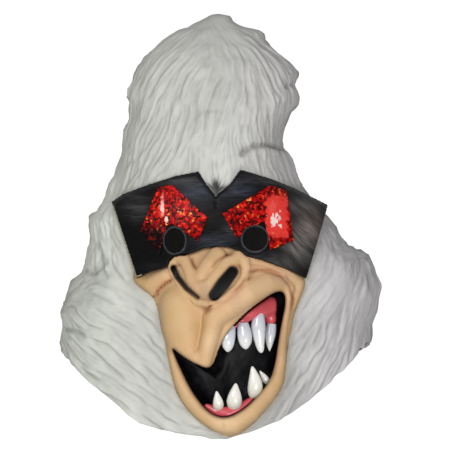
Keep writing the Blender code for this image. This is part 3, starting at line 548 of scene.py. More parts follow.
# Quads of the grid that lie well inside the face are left out: there the face closes the hood.
# The inner skin has one face for each block of quads, and is as fine as the outer one round the hole.
EDGE_UNDER_FACE = 0.0026
inside_face = (face_gap < -EDGE_UNDER_FACE).reshape(ring_count, column_count)
right_of = np.roll(inside_face, -1, axis=1)
cut = inside_face[:-1] & inside_face[1:] & right_of[:-1] & right_of[1:]
last = ring_count - 1
ring_stops = [*range(0, last, BLOCK), last]
block_columns = range(0, column_count, BLOCK)
touched = set()
for n, a in enumerate(ring_stops[:-1]):
    for c in block_columns:
        if cut[a : ring_stops[n + 1], c : c + BLOCK].any():
            for m, d in ((n, c), (n - 1, c), (n + 1, c), (n, c - BLOCK), (n, c + BLOCK)):
                touched.add((m, d % column_count))

apex = len(carved)
apex_place = carved[-column_count:].mean(axis=0) + np.array([0, 0, 0.0006])
inner_index = {}
inner_points = []


def outer(r, c):
    return r * column_count + c % column_count


def inner(r, c):
    k = outer(r, c)
    if k not in inner_index:
        inner_index[k] = apex + 1 + len(inner_points)
        inner_points.append(points[k] - normals[k] * HOOD_WALL)
    return inner_index[k]


faces = []
for n, (a, b) in enumerate(zip(ring_stops[:-1], ring_stops[1:])):
    for c in block_columns:
        d = c + BLOCK
        fine = (n, c) in touched
        for r in range(a, b):
            for k in range(c, d):
                if cut[r, k]:
                    continue
                corners = ((r, k), (r, k + 1), (r + 1, k + 1), (r + 1, k))
                faces.append(tuple(outer(*corner) for corner in corners))
                if not fine:
                    continue
                faces.append(tuple(inner(*corner) for corner in corners[::-1]))
                beside = ((r - 1, k), (r, k + 1), (r + 1, k), (r, k - 1))
                for (i, j), start, end in zip(beside, corners, corners[1:] + corners[:1]):
                    if 0 <= i < last and cut[i, j % column_count]:
                        faces.append((outer(*end), outer(*start), inner(*start), inner(*end)))
        sides = [
            ((n - 1, c), [(a, k) for k in range(c, d)]), ((n, d), [(r, d) for r in range(a, b)]),
            ((n + 1, c), [(b, k) for k in range(d, c, -1)]), ((n, c - BLOCK), [(r, c) for r in range(b, a, -1)]),
        ]
        if not fine:
            # Where the next block is fine, its corners come into this face too.
            ring = []
            for (m, j), side in sides:
                ring += side if (m, j % column_count) in touched else side[:1]
            faces.append(tuple(inner(*corner) for corner in ring[::-1]))
        if a == 0:
            bottom = [(0, k) for k in range(c, d + 1)]
            under = bottom if fine else [bottom[0], bottom[-1]]
            faces.append((*[outer(*corner) for corner in bottom[::-1]], *[inner(*corner) for corner in under]))
for k in range(column_count):
    faces.append((outer(last, k), outer(last, k + 1), apex))
inner_top = [inner(last, c) for c in block_columns]
inner_apex = apex + 1 + len(inner_points)
inner_points.append(apex_place - np.array([0, 0, HOOD_WALL + 0.002]))
for first, second in zip(inner_top, inner_top[1:] + inner_top[:1]):
    faces.append((second, first, inner_apex))
everything = np.vstack([carved, apex_place[None], np.array(inner_points)])
# Painted shade: the inside of the hood is painted near black.
inner_painted_shade = np.tile([0.055, 0.052, 0.048], (len(inner_points), 1))
paint = np.vstack([fur_paint, fur_paint[-1:], inner_painted_shade])
fur_hood = mesh_piece("fur_hood", everything, faces, paint)


def node(tree, kind, place=(0, 0), **settings):
    made = tree.nodes.new(kind)
    made.location = place
    for name, value in settings.items():
        setattr(made, name, value)
    return made


def grain_group():
    """Cast latex: fine pits and soft mottling, from where a point is on the piece."""
    group = bpy.data.node_groups.new("latex grain", "ShaderNodeTree")
    for name, kind, value in (("Size", "NodeSocketFloat", 400.0), ("Mottle", "NodeSocketFloat", 0.1)):
        socket = group.interface.new_socket(name, in_out="INPUT", socket_type=kind)
        socket.default_value = value
    group.interface.new_socket("Height", in_out="OUTPUT", socket_type="NodeSocketFloat")
    group.interface.new_socket("Tone", in_out="OUTPUT", socket_type="NodeSocketFloat")
    start, end = node(group, "NodeGroupInput", (-800, 0)), node(group, "NodeGroupOutput", (400, 0))
    where = node(group, "ShaderNodeTexCoord", (-800, 300))
    pits = node(group, "ShaderNodeTexNoise", (-500, 200))
    pits.inputs["Detail"].default_value = 3.0
    pits.inputs["Roughness"].default_value = 0.6
    blotch = node(group, "ShaderNodeTexNoise", (-500, -100))
    blotch.inputs["Scale"].default_value = 55.0
    blotch.inputs["Detail"].default_value = 4.0
    centred = node(group, "ShaderNodeMath", (-250, -100), operation="SUBTRACT")
    centred.inputs[1].default_value = 0.5
    strength = node(group, "ShaderNodeMath", (-50, -100), operation="MULTIPLY_ADD")
    strength.inputs[2].default_value = 1.0
    link = group.links.new
    link(where.outputs["Object"], pits.inputs["Vector"])
    link(where.outputs["Object"], blotch.inputs["Vector"])
    link(start.outputs["Size"], pits.inputs["Scale"])
    link(blotch.outputs["Fac"], centred.inputs[0])
    link(centred.outputs[0], strength.inputs[0])
    link(start.outputs["Mottle"], strength.inputs[1])
    link(strength.outputs[0], end.inputs["Tone"])
    link(pits.outputs["Fac"], end.inputs["Height"])
    return group


latex_grain = grain_group()


def painted_latex(name, roughness, bump, size, mottle, coat=0.0, sheen=0.0):
    """Latex with paint on it: the piece's own paint, mottled, over fine pits."""
    material = bpy.data.materials.new(name)
    material.use_nodes = True
    tree = material.node_tree
    shader = tree.nodes["Principled BSDF"]
    shader.inputs["Specular IOR Level"].default_value = 0.45
    shader.inputs["Coat Weight"].default_value = coat
    shader.inputs["Coat Roughness"].default_value = 0.12
    shader.inputs["Sheen Weight"].default_value = sheen
    paint = node(tree, "ShaderNodeAttribute", (-900, 200), attribute_name="paint")
    grain = node(tree, "ShaderNodeGroup", (-900, -100), node_tree=latex_grain)
    grain.inputs["Size"].default_value = size
    grain.inputs["Mottle"].default_value = mottle
    toned = node(tree, "ShaderNodeVectorMath", (-500, 200), operation="SCALE")
    rough = node(tree, "ShaderNodeMapRange", (-500, -50))
    rough.inputs["From Min"].default_value = 0.3
    rough.inputs["From Max"].default_value = 0.7
    rough.inputs["To Min"].default_value = roughness - 0.07
    rough.inputs["To Max"].default_value = roughness + 0.07
    lift = node(tree, "ShaderNodeBump", (-300, -250))
    lift.inputs["Strength"].default_value = bump
    lift.inputs["Distance"].default_value = 0.0006
    link = tree.links.new
    link(paint.outputs["Color"], toned.inputs[0])
    link(grain.outputs["Tone"], toned.inputs["Scale"])
    link(toned.outputs["Vector"], shader.inputs["Base Color"])
    link(grain.outputs["Height"], rough.inputs["Value"])
    link(rough.outputs["Result"], shader.inputs["Roughness"])
    link(grain.outputs["Height"], lift.inputs["Height"])
    link(lift.outputs["Normal"], shader.inputs["Normal"])
    return material


fur_hood.data.materials.append(painted_latex("fur_latex_paint", 0.62, 0.35, 900.0, 0.12))
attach(fur_hood, "root")
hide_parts("hood")

# Face. A second casting, in latex painted tan: a broad snarling muzzle, with the nose and lips built
# up on it in clay-like rolls, and brown in the folds, partly paint rubbed in and partly painted shade.
# Its edge is let into the hood.

MOUTH_OUTLINE = [
    (172.0, 346.2), (180.0, 353.1), (190.0, 360.4), (202.0, 366.7), (209.5, 367.8), (214.5, 362.5),
    (217.5, 354.0), (222.0, 342.0), (231.0, 328.0), (246.9, 311.8), (266.0, 297.8), (276.0, 291.8),
    (283.0, 292.0), (285.3, 301.0), (281.0, 322.0), (277.6, 342.0), (274.5, 362.0), (269.0, 379.9),
    (254.9, 397.0), (241.0, 409.8), (226.0, 416.5), (214.0, 414.0), (204.0, 405.9), (190.9, 387.0),
    (182.0, 368.0), (176.0, 355.0),
]
# Rolls laid on the muzzle: how they melt into it, then across, down, lift off the muzzle and radius,
# the last three lengths in millimetres.
FACE_ROLLS = {
    "muzzle_left": (5.0, [(183, 306, -9.0, 19.5), (184, 322, -9.0, 20.5), (188, 342, -8.0, 17.0)]),
    "lip_flap": (2.2, [(214, 316, -1.0, 9.0), (210, 334, 0.5, 8.2), (206, 350, 1.5, 7.6), (205, 360, 1.5, 6.4)]),
    "left_lip": (3.0, [(175, 343, 0.0, 4.5), (184, 350, 1.0, 6.0), (196, 356, 2.0, 7.0)]),
    "upper_lip": (3.0, [(213, 318, -1.0, 9.0), (228, 306, -1.0, 10.5), (246, 293, -1.5, 11.0),
                        (265, 284, -2.5, 10.0), (279, 282, -3.0, 8.0), (287, 288, -2.5, 6.0)]),
    "right_lip": (2.0, [(287, 288, -1.5, 5.5), (286, 306, -0.5, 4.6), (282, 326, 0.0, 4.8),
                        (280, 346, 0.5, 5.4), (279, 364, 0.5, 6.4), (277, 378, 0.5, 7.2)]),
    "lower_lip": (2.5, [(277, 378, 0.5, 7.2), (266, 395, 0.5, 7.6), (251, 410, 0.5, 8.6),
                        (234, 421, 0.5, 9.6), (217, 420, 0.5, 9.6), (202, 411, 0.5, 8.4),
                        (189, 396, 0.5, 7.4), (180, 378, 0.0, 6.0), (174, 361, 0.0, 4.6), (169, 346, 0.0, 3.4)]),
    "left_cheek": (2.5, [(134, 283, -3.0, 6.0), (150, 285, -3.0, 7.0), (166, 276, -3.0, 6.0)]),
    "right_cheek": (2.0, [(250, 261, -2.0, 5.5), (266, 265, -2.5, 6.0), (284, 273, -3.0, 6.0), (298, 284, -3.0, 6.0)]),
    "right_jaw": (2.0, [(298, 284, -3.0, 6.0), (295, 299, -3.0, 5.5), (291, 312, -3.0, 5.0), (289, 330, -3.0, 4.0)]),
    "nose_root": (2.0, [(217, 257, 2.0, 8.6), (211, 266, 4.0, 9.4), (204, 277, 6.0, 8.6)]),
    "nose_tip": (2.2, [(203, 289, 8.0, 8.4), (209, 290, 7.0, 8.0)]),
    "left_wing": (1.1, [(173.5, 273, 1.0, 3.4), (173.0, 264, 3.0, 4.4), (178.5, 257.5, 5.0, 5.0),
                        (185.5, 260.5, 6.5, 5.2), (189.5, 269, 8.0, 5.3), (192.5, 279, 9.5, 5.5),
                        (198, 286, 10.5, 6.4)]),
    "right_wing": (1.1, [(200, 288, 11.0, 6.4), (209.5, 283.5, 10.5, 6.2), (219, 272.5, 9.0, 6.0),
                         (227.5, 262.5, 7.5, 6.0), (237.5, 257, 6.0, 5.8), (244, 260.5, 5.0, 5.2),
                         (246.2, 268, 4.0, 4.4), (243.5, 278, 3.5, 3.6), (236, 288, 3.5, 3.4),
                         (226, 297, 3.5, 3.6), (214, 301, 3.5, 4.0)]),
    "left_rim": (1.0, [(171.0, 268, 1.0, 1.9), (175.5, 279, 2.5, 2.0), (184.5, 291.5, 4.0, 2.2),
                       (196, 301, 5.0, 2.8), (206, 303, 5.0, 3.6)]),
}
# Cuts into the rolls: across, down and half width in millimetres, and how deep they go.
NOSTRILS = {
    "right": ([(214.5, 294.5, 4.4), (223.5, 283.0, 5.4), (232.5, 271.5, 4.6)], -0.8),
    "left": ([(173.8, 267.8, 2.3), (178.0, 276.5, 2.0), (187.0, 287.5, 1.5), (198.5, 296.5, 0.8)], 0.0),
}
# Folds pressed into the surface: places along it, half width and depth in millimetres, then how much
# colour goes into it and which, partly paint rubbed in and partly painted shade.
RUST, OCHRE, ROSE = (0.36, 0.125, 0.055), (0.44, 0.27, 0.085), (0.60, 0.28, 0.18)
FACE_FOLDS = [
    ([(206, 304), (205, 312), (202.5, 325), (199.5, 340), (198, 352)], 3.6, 0.9, 0.22, OCHRE),
    ([(203, 306), (207, 311), (212, 307)], 1.3, 0.8, 0.55, RUST),
    ([(174, 278), (166, 283), (159, 289), (154.5, 298)], 1.4, 1.3, 0.80, RUST),
    ([(247, 272), (258, 269.5), (270, 271), (281, 276), (289, 285), (292.5, 297), (291, 309)], 1.2, 1.2, 0.55, RUST),
    ([(249, 264), (262, 266), (275, 271), (288, 279)], 0.8, 0.6, 0.60, ROSE),
    ([(252, 259), (266, 262), (282, 269)], 0.8, 0.5, 0.55, ROSE),
    ([(233, 292), (241, 285), (247, 276)], 1.3, 0.9, 0.55, RUST),
    ([(213, 304), (225, 300), (236, 292), (246, 283)], 1.4, 0.6, 0.40, ROSE),
    ([(192.5, 256), (192.5, 262), (195, 269)], 1.0, 0.7, 0.45, RUST),
    ([(235, 253), (226, 255.5), (217.5, 260.5), (211.5, 268)], 1.1, 0.9, 0.55, RUST),
    ([(211.5, 268), (206, 276), (203, 281)], 1.6, 0.7, 0.25, OCHRE),
    ([(222, 420), (224, 423.5), (223, 427)], 0.9, 0.5, 0.35, OCHRE),
    ([(180, 352), (184, 372), (193, 391), (206, 409)], 1.4, 0.0, 0.30, RUST),
    ([(284, 318), (281, 342), (278, 362), (272, 381)], 1.0, 0.0, 0.35, RUST),
]
# Sprayed tones over the skin, with painted light and shade among them.
SKIN_TONES = [
    (172, 292, 12, 0.35, (0.62, 0.43, 0.19)), (172, 315, 13, 0.45, (0.60, 0.43, 0.18)),
    (187, 303, 11, 0.30, (0.66, 0.43, 0.19)), (176, 332, 12, 0.35, (0.62, 0.42, 0.18)),
    (196, 328, 8, 0.40, (0.58, 0.40, 0.16)), (206, 296, 8, 0.55, (0.42, 0.27, 0.16)),
    (197, 284, 7, 0.25, (0.66, 0.34, 0.21)), (212, 340, 10, 0.35, (0.84, 0.58, 0.35)),
    (225, 258, 8, 0.35, (0.80, 0.56, 0.33)), (240, 303, 12, 0.35, (0.80, 0.53, 0.33)),
    (236, 296, 8, 0.45, (0.64, 0.34, 0.22)), (265, 280, 12, 0.30, (0.78, 0.55, 0.33)),
    (283, 275, 9, 0.40, (0.66, 0.38, 0.26)), (294, 289, 8, 0.30, (0.70, 0.46, 0.28)),
    (290, 310, 8, 0.40, (0.56, 0.34, 0.20)), (288, 345, 9, 0.45, (0.52, 0.33, 0.18)),
    (283, 372, 9, 0.40, (0.54, 0.33, 0.17)), (266, 402, 10, 0.25, (0.60, 0.38, 0.20)),
    (178, 395, 12, 0.30, (0.64, 0.46, 0.23)), (192, 412, 12, 0.30, (0.66, 0.46, 0.24)),
    (225, 424, 16, 0.50, (0.92, 0.66, 0.40)), (150, 284, 9, 0.30, (0.62, 0.42, 0.20)),
    (204, 288, 7, 0.55, (0.46, 0.30, 0.17)), (250, 291, 14, 0.35, (0.88, 0.62, 0.38)),
    (209, 338, 7, 0.35, (0.88, 0.62, 0.37)), (144, 280, 5, 0.40, (0.52, 0.37, 0.13)),
]
LATEX_WALL = 0.0025
THINNEST_SKIN = 0.0012
FACE_STEP = 0.00085


def axes_between(low, high, step):
    return [np.arange(a, b + step, step) for a, b in zip(low, high)]


def melted(first, second, melt):
    """Two shapes run together, with a soft join of about that width."""
    near = np.clip(melt - np.abs(first - second), 0, None) / melt
    return np.minimum(first, second) - near * near * melt / 4


def cut_away(first, second, melt):
    """The first shape where the second isn't, with a soft edge of about that width."""
    return -melted(-first, second, melt)


def roll_distance(places, line, radii):
    """Distance to the skin of a roll of clay of changing thickness."""
    best = np.full(places[0].shape, np.inf, np.float32)
    for a, b, ra, rb in zip(line[:-1], line[1:], radii[:-1], radii[1:]):
        edge = b - a
        t = sum((p - o) * e for p, o, e in zip(places, a, edge)) / max(edge @ edge, 1e-12)
        t = np.clip(t, 0, 1)
        gap = np.sqrt(sum((p - o - t * e) ** 2 for p, o, e in zip(places, a, edge)))
        best = np.minimum(best, gap - (ra + (rb - ra) * t))
    return best


def lay_roll(field, axes, line, radii, melt):
    """Adds one roll to a field, working only near it."""
    window = []
    for n, axis in enumerate(axes):
        low = min(p[n] - r for p, r in zip(line, radii)) - melt
        high = max(p[n] + r for p, r in zip(line, radii)) + melt
        window.append(slice(np.searchsorted(axis, low), np.searchsorted(axis, high) + 1))
    window = tuple(window)
    places = np.meshgrid(*[axis[w] for axis, w in zip(axes, window)], indexing="ij", sparse=True)
    shape = tuple(len(axis[w]) for axis, w in zip(axes, window))
    places = [np.broadcast_to(p, shape) for p in places]
    field[window] = melted(field[window], roll_distance(places, line, radii), melt)


def cast_skin(field, axes):
    """A closed mesh over a field's zero level; the field is negative inside the piece.

    The field's second axis runs ahead, and the mesh's Y runs back, so it is turned round here.
    """
    shape = np.array(field.shape) - 1
    corners = [(i, j, k) for i in (0, 1) for j in (0, 1) for k in (0, 1)]
    views = [field[i : shape[0] + i, j : shape[1] + j, k : shape[2] + k] for i, j, k in corners]
    count = sum((v < 0).astype(np.int8) for v in views)
    active = (count > 0) & (count < 8)
    cells = np.argwhere(active)
    number = np.full(tuple(shape), -1, np.int64)
    number[active] = np.arange(len(cells))
    values = np.stack([v[active] for v in views], -1)
    total = np.zeros((len(cells), 3))
    crossings = np.zeros(len(cells))
    for a in range(8):
        for b in range(a + 1, 8):
            step = np.array(corners[b]) - corners[a]
            if np.abs(step).sum() != 1:
                continue
            crossed = (values[:, a] < 0) != (values[:, b] < 0)
            share = values[:, a] / np.where(crossed, values[:, a] - values[:, b], 1)
            total += np.where(crossed[:, None], corners[a] + share[:, None] * step, 0)
            crossings += crossed
    places = cells + total / crossings[:, None]
    points = np.stack([np.interp(places[:, n], np.arange(len(axes[n])), axes[n]) for n in range(3)], -1)
    points[:, 1] *= -1
    inside = field < 0
    faces = []
    for n in range(3):
        u, v = [m for m in range(3) if m != n]
        low = [slice(1, -1)] * 3
        high = [slice(1, -1)] * 3
        low[n], high[n] = slice(0, -1), slice(1, None)
        first, second = inside[tuple(low)], inside[tuple(high)]
        edges = np.argwhere(first != second)
        leaves = first[first != second]
        edges[:, u] += 1
        edges[:, v] += 1
        ring = []
        for du, dv in ((-1, -1), (0, -1), (0, 0), (-1, 0)):
            cell = edges.copy()
            cell[:, u] += du
            cell[:, v] += dv
            ring.append(number[tuple(cell.T)])
        quad = np.stack(ring, -1)
        forward = ~leaves if n != 1 else leaves
        quad[~forward] = quad[~forward][:, ::-1]
        faces.append(quad)
    return points, np.vstack(faces)


def eased(points, faces, times=2, share=0.5):
    """Points drawn towards their neighbours, to take out the steps of the grid."""
    for _ in range(times):
        total = np.zeros_like(points)
        count = np.zeros(len(points))
        for a in range(4):
            for b in ((a + 1) % 4, (a + 3) % 4):
                np.add.at(total, faces[:, a], points[faces[:, b]])
                np.add.at(count, faces[:, a], 1)
        points = points + (total / count[:, None] - points) * share
    return points


def in_space(rows):
    """Table rows of across, down, lift and radius as a line in space, with ahead second, and radii."""
    rows = np.array(rows, float)
    flat = seen(rows[:, :2])
    ahead = head_ahead(flat[:, 0], flat[:, 1]) + rows[:, 2] / 1000
    return np.stack([flat[:, 0], ahead, flat[:, 1]], -1), rows[:, 3] / 1000


def slot_distance(flat, rows):
    """Distance to a slot of changing half width, seen from the front."""
    rows = np.array(rows, float)
    gap, along = line_distance(flat, seen(rows[:, :2]))
    return gap - np.interp(along, np.arange(len(rows)), rows[:, 2]) / 1000


face_axes = axes_between((-0.080, 0.080, -0.2885), (0.078, 0.1615, -0.094), FACE_STEP)
face_flat = np.stack(np.meshgrid(face_axes[0], face_axes[2], indexing="ij"), -1)
face_base = head_ahead(face_flat[..., 0], face_flat[..., 1])
ahead = face_axes[1][None, :, None]
slope = np.hypot(*np.gradient(face_base, FACE_STEP))
steepness = np.sqrt(1 + np.minimum(slope, 3.0) ** 2)[:, None, :]
face_field = ((ahead - face_base[:, None, :]) / steepness).astype(np.float32)
for melt, rows in FACE_ROLLS.values():
    line, radii = in_space(rows)
    lay_roll(face_field, face_axes, line, radii, melt / 1000)
for line, width, depth, _, _ in FACE_FOLDS:
    gap, along = line_distance(face_flat, seen(line))
    ends = smooth(along / 0.7 + 0.2) * smooth((len(line) - 1 - along) / 0.7 + 0.2)
    face_field += (depth / 1000 * np.exp(-((gap * 1000 / width) ** 2)) * ends)[:, None, :]
face_edge = polygon_distance(face_flat, seen(rounded(FACE_OUTLINE, 2)))
wall = LATEX_WALL - 0.0008 * (face_edge > -0.009)
face_field = np.minimum(face_field, ahead - (face_base - wall + THINNEST_SKIN)[:, None, :])
for rows, floor_lift in NOSTRILS.values():
    sides = slot_distance(face_flat, rows)[:, None, :]
    pit = np.maximum(sides, face_base[:, None, :] + floor_lift / 1000 - ahead)
    face_field = cut_away(face_field, pit, 0.0018)
mouth_gap = polygon_distance(face_flat, seen(rounded(MOUTH_OUTLINE)))
face_field = cut_away(face_field, np.broadcast_to(mouth_gap[:, None, :], face_field.shape), 0.0045)
under_plate = polygon_distance(face_flat, seen(EYE_MASK_OUTLINE))
seat = ahead - face_base[:, None, :] + 0.0006
face_field = np.where(under_plate[:, None, :] < 0.0003, np.maximum(face_field, seat), face_field)
EYE_HOLES = {"left": (174.2, 239.0), "right": (254.2, 237.6)}
EYE_RADIUS = 0.0106
for place in EYE_HOLES.values():
    hole = np.linalg.norm(face_flat - seen(place), axis=-1) - EYE_RADIUS - 0.0006
    face_field = cut_away(face_field, np.broadcast_to(hole[:, None, :], face_field.shape), 0.0008)
face_field = -melted(-face_field, -np.broadcast_to(face_edge[:, None, :], face_field.shape), 0.0035)
face_field = np.maximum(face_field, face_base[:, None, :] - wall[:, None, :] - ahead)
points, faces = cast_skin(face_field, face_axes)
points = eased(points, faces)
flat = points[:, [0, 2]]

in_picture = np.stack([flat[:, 0] / PIXEL[0] + MIDDLE_PIXEL[0], row_of(flat[:, 1])], -1)
skin_paint = np.tile([0.70, 0.445, 0.225], (len(points), 1))
skin_paint = blend(skin_paint, [0.76, 0.50, 0.29], smooth(0.5 + 0.6 * lumps(points, 0.016, 11)) * 0.5)
# Where the skin takes another tone, partly sprayed paint and partly painted light and shade: lighter on
# the nose bridge, upper lip, lip flap and chin, darker at the nose tip and down the right jaw. Across, down,
# reach in pixels, strength and colour.
for across, down, reach, strength, colour in SKIN_TONES:
    gap = np.linalg.norm(in_picture - (across, down), axis=-1) / reach
    skin_paint = blend(skin_paint, colour, np.exp(-(gap**2)) * strength)
edge_gap = np.clip(-polygon_distance(flat, seen(rounded(FACE_OUTLINE, 2))), 0, 1)
skin_paint = blend(skin_paint, [0.36, 0.24, 0.09], np.exp(-edge_gap / 0.0032) * 0.85)
specks = np.clip(lumps(points, 0.0016, 12) * 3.4 - 2.1, 0, 1) * smooth((in_picture[:, 1] - 295) / 20)
skin_paint = blend(skin_paint, [0.50, 0.28, 0.12], specks * 0.35)
# Colour in the folds: paint rubbed in, and painted shade.
for line, width, _, strength, colour in FACE_FOLDS:
    gap, along = line_distance(flat, seen(line))
    ends = smooth(along / 0.7 + 0.3) * smooth((len(line) - 1 - along) / 0.7 + 0.3)
    skin_paint = blend(skin_paint, colour, strength * np.exp(-((gap * 1000 / (width * 1.25)) ** 2)) * ends)
bare = head_ahead(points[:, 0], points[:, 2])
for rows, _ in NOSTRILS.values():
    gap = slot_distance(flat, rows)
    skin_paint = blend(skin_paint, [0.16, 0.085, 0.055], smooth((0.0026 - gap) / 0.0026) * 0.6)
    skin_paint = blend(skin_paint, [0.002, 0.002, 0.002], smooth((0.0010 - gap) / 0.0016))
mouth_rim = polygon_distance(flat, seen(rounded(MOUTH_OUTLINE)))
skin_paint = blend(skin_paint, [0.20, 0.105, 0.055], smooth((0.0030 - mouth_rim) / 0.0028) * 0.55)
skin_paint = blend(skin_paint, [0.008, 0.007, 0.007], smooth((0.0012 - mouth_rim) / 0.0018))
# Painted shade: the back of the skin, facing into the hood, is painted near black.
wall_here = LATEX_WALL - 0.0008 * (edge_gap < 0.009)
inside = smooth((bare + points[:, 1] - wall_here + 0.0006) / 0.0003)
skin_paint = blend(skin_paint, [0.055, 0.052, 0.048], inside)
face_skin = mesh_piece("face_skin", points, faces, skin_paint)
face_skin.data.materials.append(painted_latex("skin_latex_paint", 0.50, 0.22, 1300.0, 0.10))
face_skin.data.materials[0].node_tree.nodes["Principled BSDF"].inputs["Specular IOR Level"].default_value = 0.32
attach(face_skin, "root")
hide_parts("face")

# Eye mask. A raised band over the brow, cast in thicker latex and painted matte black, then
# dry-brushed with blue grey. Its top edge is bevelled, and each eye hole has a ring moulded round it.

EYE_MASK_WALL = 0.0040
EYE_MASK_GAP = 0.0009
EYE_MASK_BEND = 0.985
EYE_MASK_STEP = 0.00085
TOP_EDGE = EYE_MASK_OUTLINE[:12]
TOP_BEVEL, EDGE_BEVEL = 0.0036, 0.0008
# Centre in the picture, and half the ring's width and height.
EYE_RINGS = {"left": ((175.0, 240.3), 0.0090, 0.0110), "right": ((254.8, 238.6), 0.0108, 0.0107)}
RING_RADIUS = 0.0010
# Dry brushing: across, down, half width and half height in pixels, then the colour that it leaves.
BRUSHING = [
    (197, 191, 22, 10, (0.040, 0.045, 0.066)), (237, 190, 18, 8, (0.040, 0.045, 0.062)),
    (216, 219, 16, 13, (0.012, 0.011, 0.012)), (214, 240, 22, 6, (0.042, 0.047, 0.060)),
    (252, 255, 18, 5, (0.026, 0.027, 0.032)), (138, 207, 13, 11, (0.050, 0.051, 0.050)),
    (301, 206, 16, 9, (0.100, 0.092, 0.090)), (309, 226, 12, 14, (0.240, 0.195, 0.180)),
    (298, 246, 15, 15, (0.170, 0.155, 0.148)), (280, 262, 17, 7, (0.070, 0.066, 0.064)),
    (233, 229, 9, 8, (0.055, 0.055, 0.060)), (155, 268, 14, 5, (0.012, 0.012, 0.012)),
    (178, 182, 20, 4, (0.040, 0.040, 0.044)), (264, 181, 22, 4, (0.050, 0.050, 0.056)),
]


def plate_back(x, z):
    return head_ahead(x * EYE_MASK_BEND, z) + EYE_MASK_GAP


def eye_distance(flat, side):
    """Distance outside an eye ring's middle line, seen from the front."""
    centre, half_width, half_height = EYE_RINGS[side]
    offset = flat - seen(centre)
    share = np.hypot(offset[..., 0] / half_width, offset[..., 1] / half_height)
    slope = np.hypot(offset[..., 0] / half_width**2, offset[..., 1] / half_height**2)
    return (share - 1) * share / np.maximum(slope, 1e-6)


def kept_within(first, second, melt):
    """What two shapes have in common, with a soft edge of about that width."""
    return -melted(-first, -second, melt)


plate_low, plate_high = seen((108, 282)), seen((331, 166))
sample = np.stack(np.meshgrid(np.linspace(plate_low[0], plate_high[0], 60),
                              np.linspace(plate_low[1], plate_high[1], 40), indexing="ij"), -1)
sample_inside = polygon_distance(sample, seen(EYE_MASK_OUTLINE)) < 0.003
sample_back = plate_back(sample[..., 0], sample[..., 1])[sample_inside]
plate_axes = axes_between((plate_low[0], sample_back.min() - 0.003, plate_low[1]),
                          (plate_high[0], sample_back.max() + 0.009, plate_high[1]), EYE_MASK_STEP)
plate_flat = np.stack(np.meshgrid(plate_axes[0], plate_axes[2], indexing="ij"), -1)
back = plate_back(plate_flat[..., 0], plate_flat[..., 1])
slope = np.hypot(*np.gradient(back, EYE_MASK_STEP))
steepness = np.sqrt(1 + np.minimum(slope, 3.0) ** 2)
ahead = plate_axes[1][None, :, None]
front_gap = (ahead - (back + EYE_MASK_WALL * steepness)[:, None, :]) / steepness[:, None, :]
back_gap = (back[:, None, :] - ahead) / steepness[:, None, :]
outline_gap = polygon_distance(plate_flat, seen(EYE_MASK_OUTLINE))[:, None, :]
top_gap, _ = line_distance(plate_flat, seen(TOP_EDGE))
bevel = EDGE_BEVEL + (TOP_BEVEL - EDGE_BEVEL) * np.exp(-((top_gap / 0.006) ** 2))
plate_field = kept_within(front_gap, np.broadcast_to(outline_gap, front_gap.shape), 0.0012)
plate_field = kept_within(plate_field, (outline_gap + front_gap + bevel[:, None, :]) * 0.7071, 0.0006)
seam_gap, _ = line_distance(plate_flat, seen([(215.8, 194), (216.0, 207)]))
plate_field += (0.0010 * np.exp(-((seam_gap / 0.0009) ** 2)))[:, None, :]
for side in EYE_RINGS:
    ring = np.hypot(eye_distance(plate_flat, side)[:, None, :], front_gap) - RING_RADIUS
    plate_field = melted(plate_field, ring, 0.0010)
plate_field = np.maximum(plate_field, back_gap)
for side in EYE_RINGS:
    hole = eye_distance(plate_flat, side)[:, None, :] + RING_RADIUS * 0.7
    plate_field = cut_away(plate_field, np.broadcast_to(hole, plate_field.shape), 0.0008)
points, faces = cast_skin(plate_field, plate_axes)
points = eased(points, faces, 1)
flat = points[:, [0, 2]]
in_picture = np.stack([flat[:, 0] / PIXEL[0] + MIDDLE_PIXEL[0], row_of(flat[:, 1])], -1)
plate_paint = np.tile([0.0030, 0.0029, 0.0032], (len(points), 1))
# The brush ran along the brow and swept round and down at both ends of the mask.
swept = in_picture[:, 1] - 0.0045 * (in_picture[:, 0] - 222) ** 2 * smooth((in_picture[:, 0] - 262) / 40)
brush_run = np.stack([in_picture[:, 0] / 11.0, swept / 1.1, np.zeros(len(points))], -1)
streaks = lumps(brush_run * (0.6, 0.35, 1), 1.0, 21)
for across, down, half_width, half_height, colour in BRUSHING:
    gap = np.linalg.norm((in_picture - (across, down)) / (half_width, half_height), axis=-1)
    plate_paint = blend(plate_paint, colour, np.clip(np.exp(-(gap**2)) * (0.80 + 0.45 * streaks), 0, 1))
edge_gap = -polygon_distance(flat, seen(EYE_MASK_OUTLINE))
top_gap, _ = line_distance(flat, seen(TOP_EDGE))
# A paler grey line along the foot of the top bevel, and the bevel itself near black.
bevel_line = np.exp(-(((top_gap - 0.0036) / 0.0008) ** 2)) * (0.6 + 0.4 * streaks)
plate_paint = blend(plate_paint, [0.060, 0.060, 0.066], bevel_line * 0.45)
plate_paint = blend(plate_paint, [0.004, 0.004, 0.005], np.exp(-((top_gap / 0.0026) ** 2)) * 0.9)
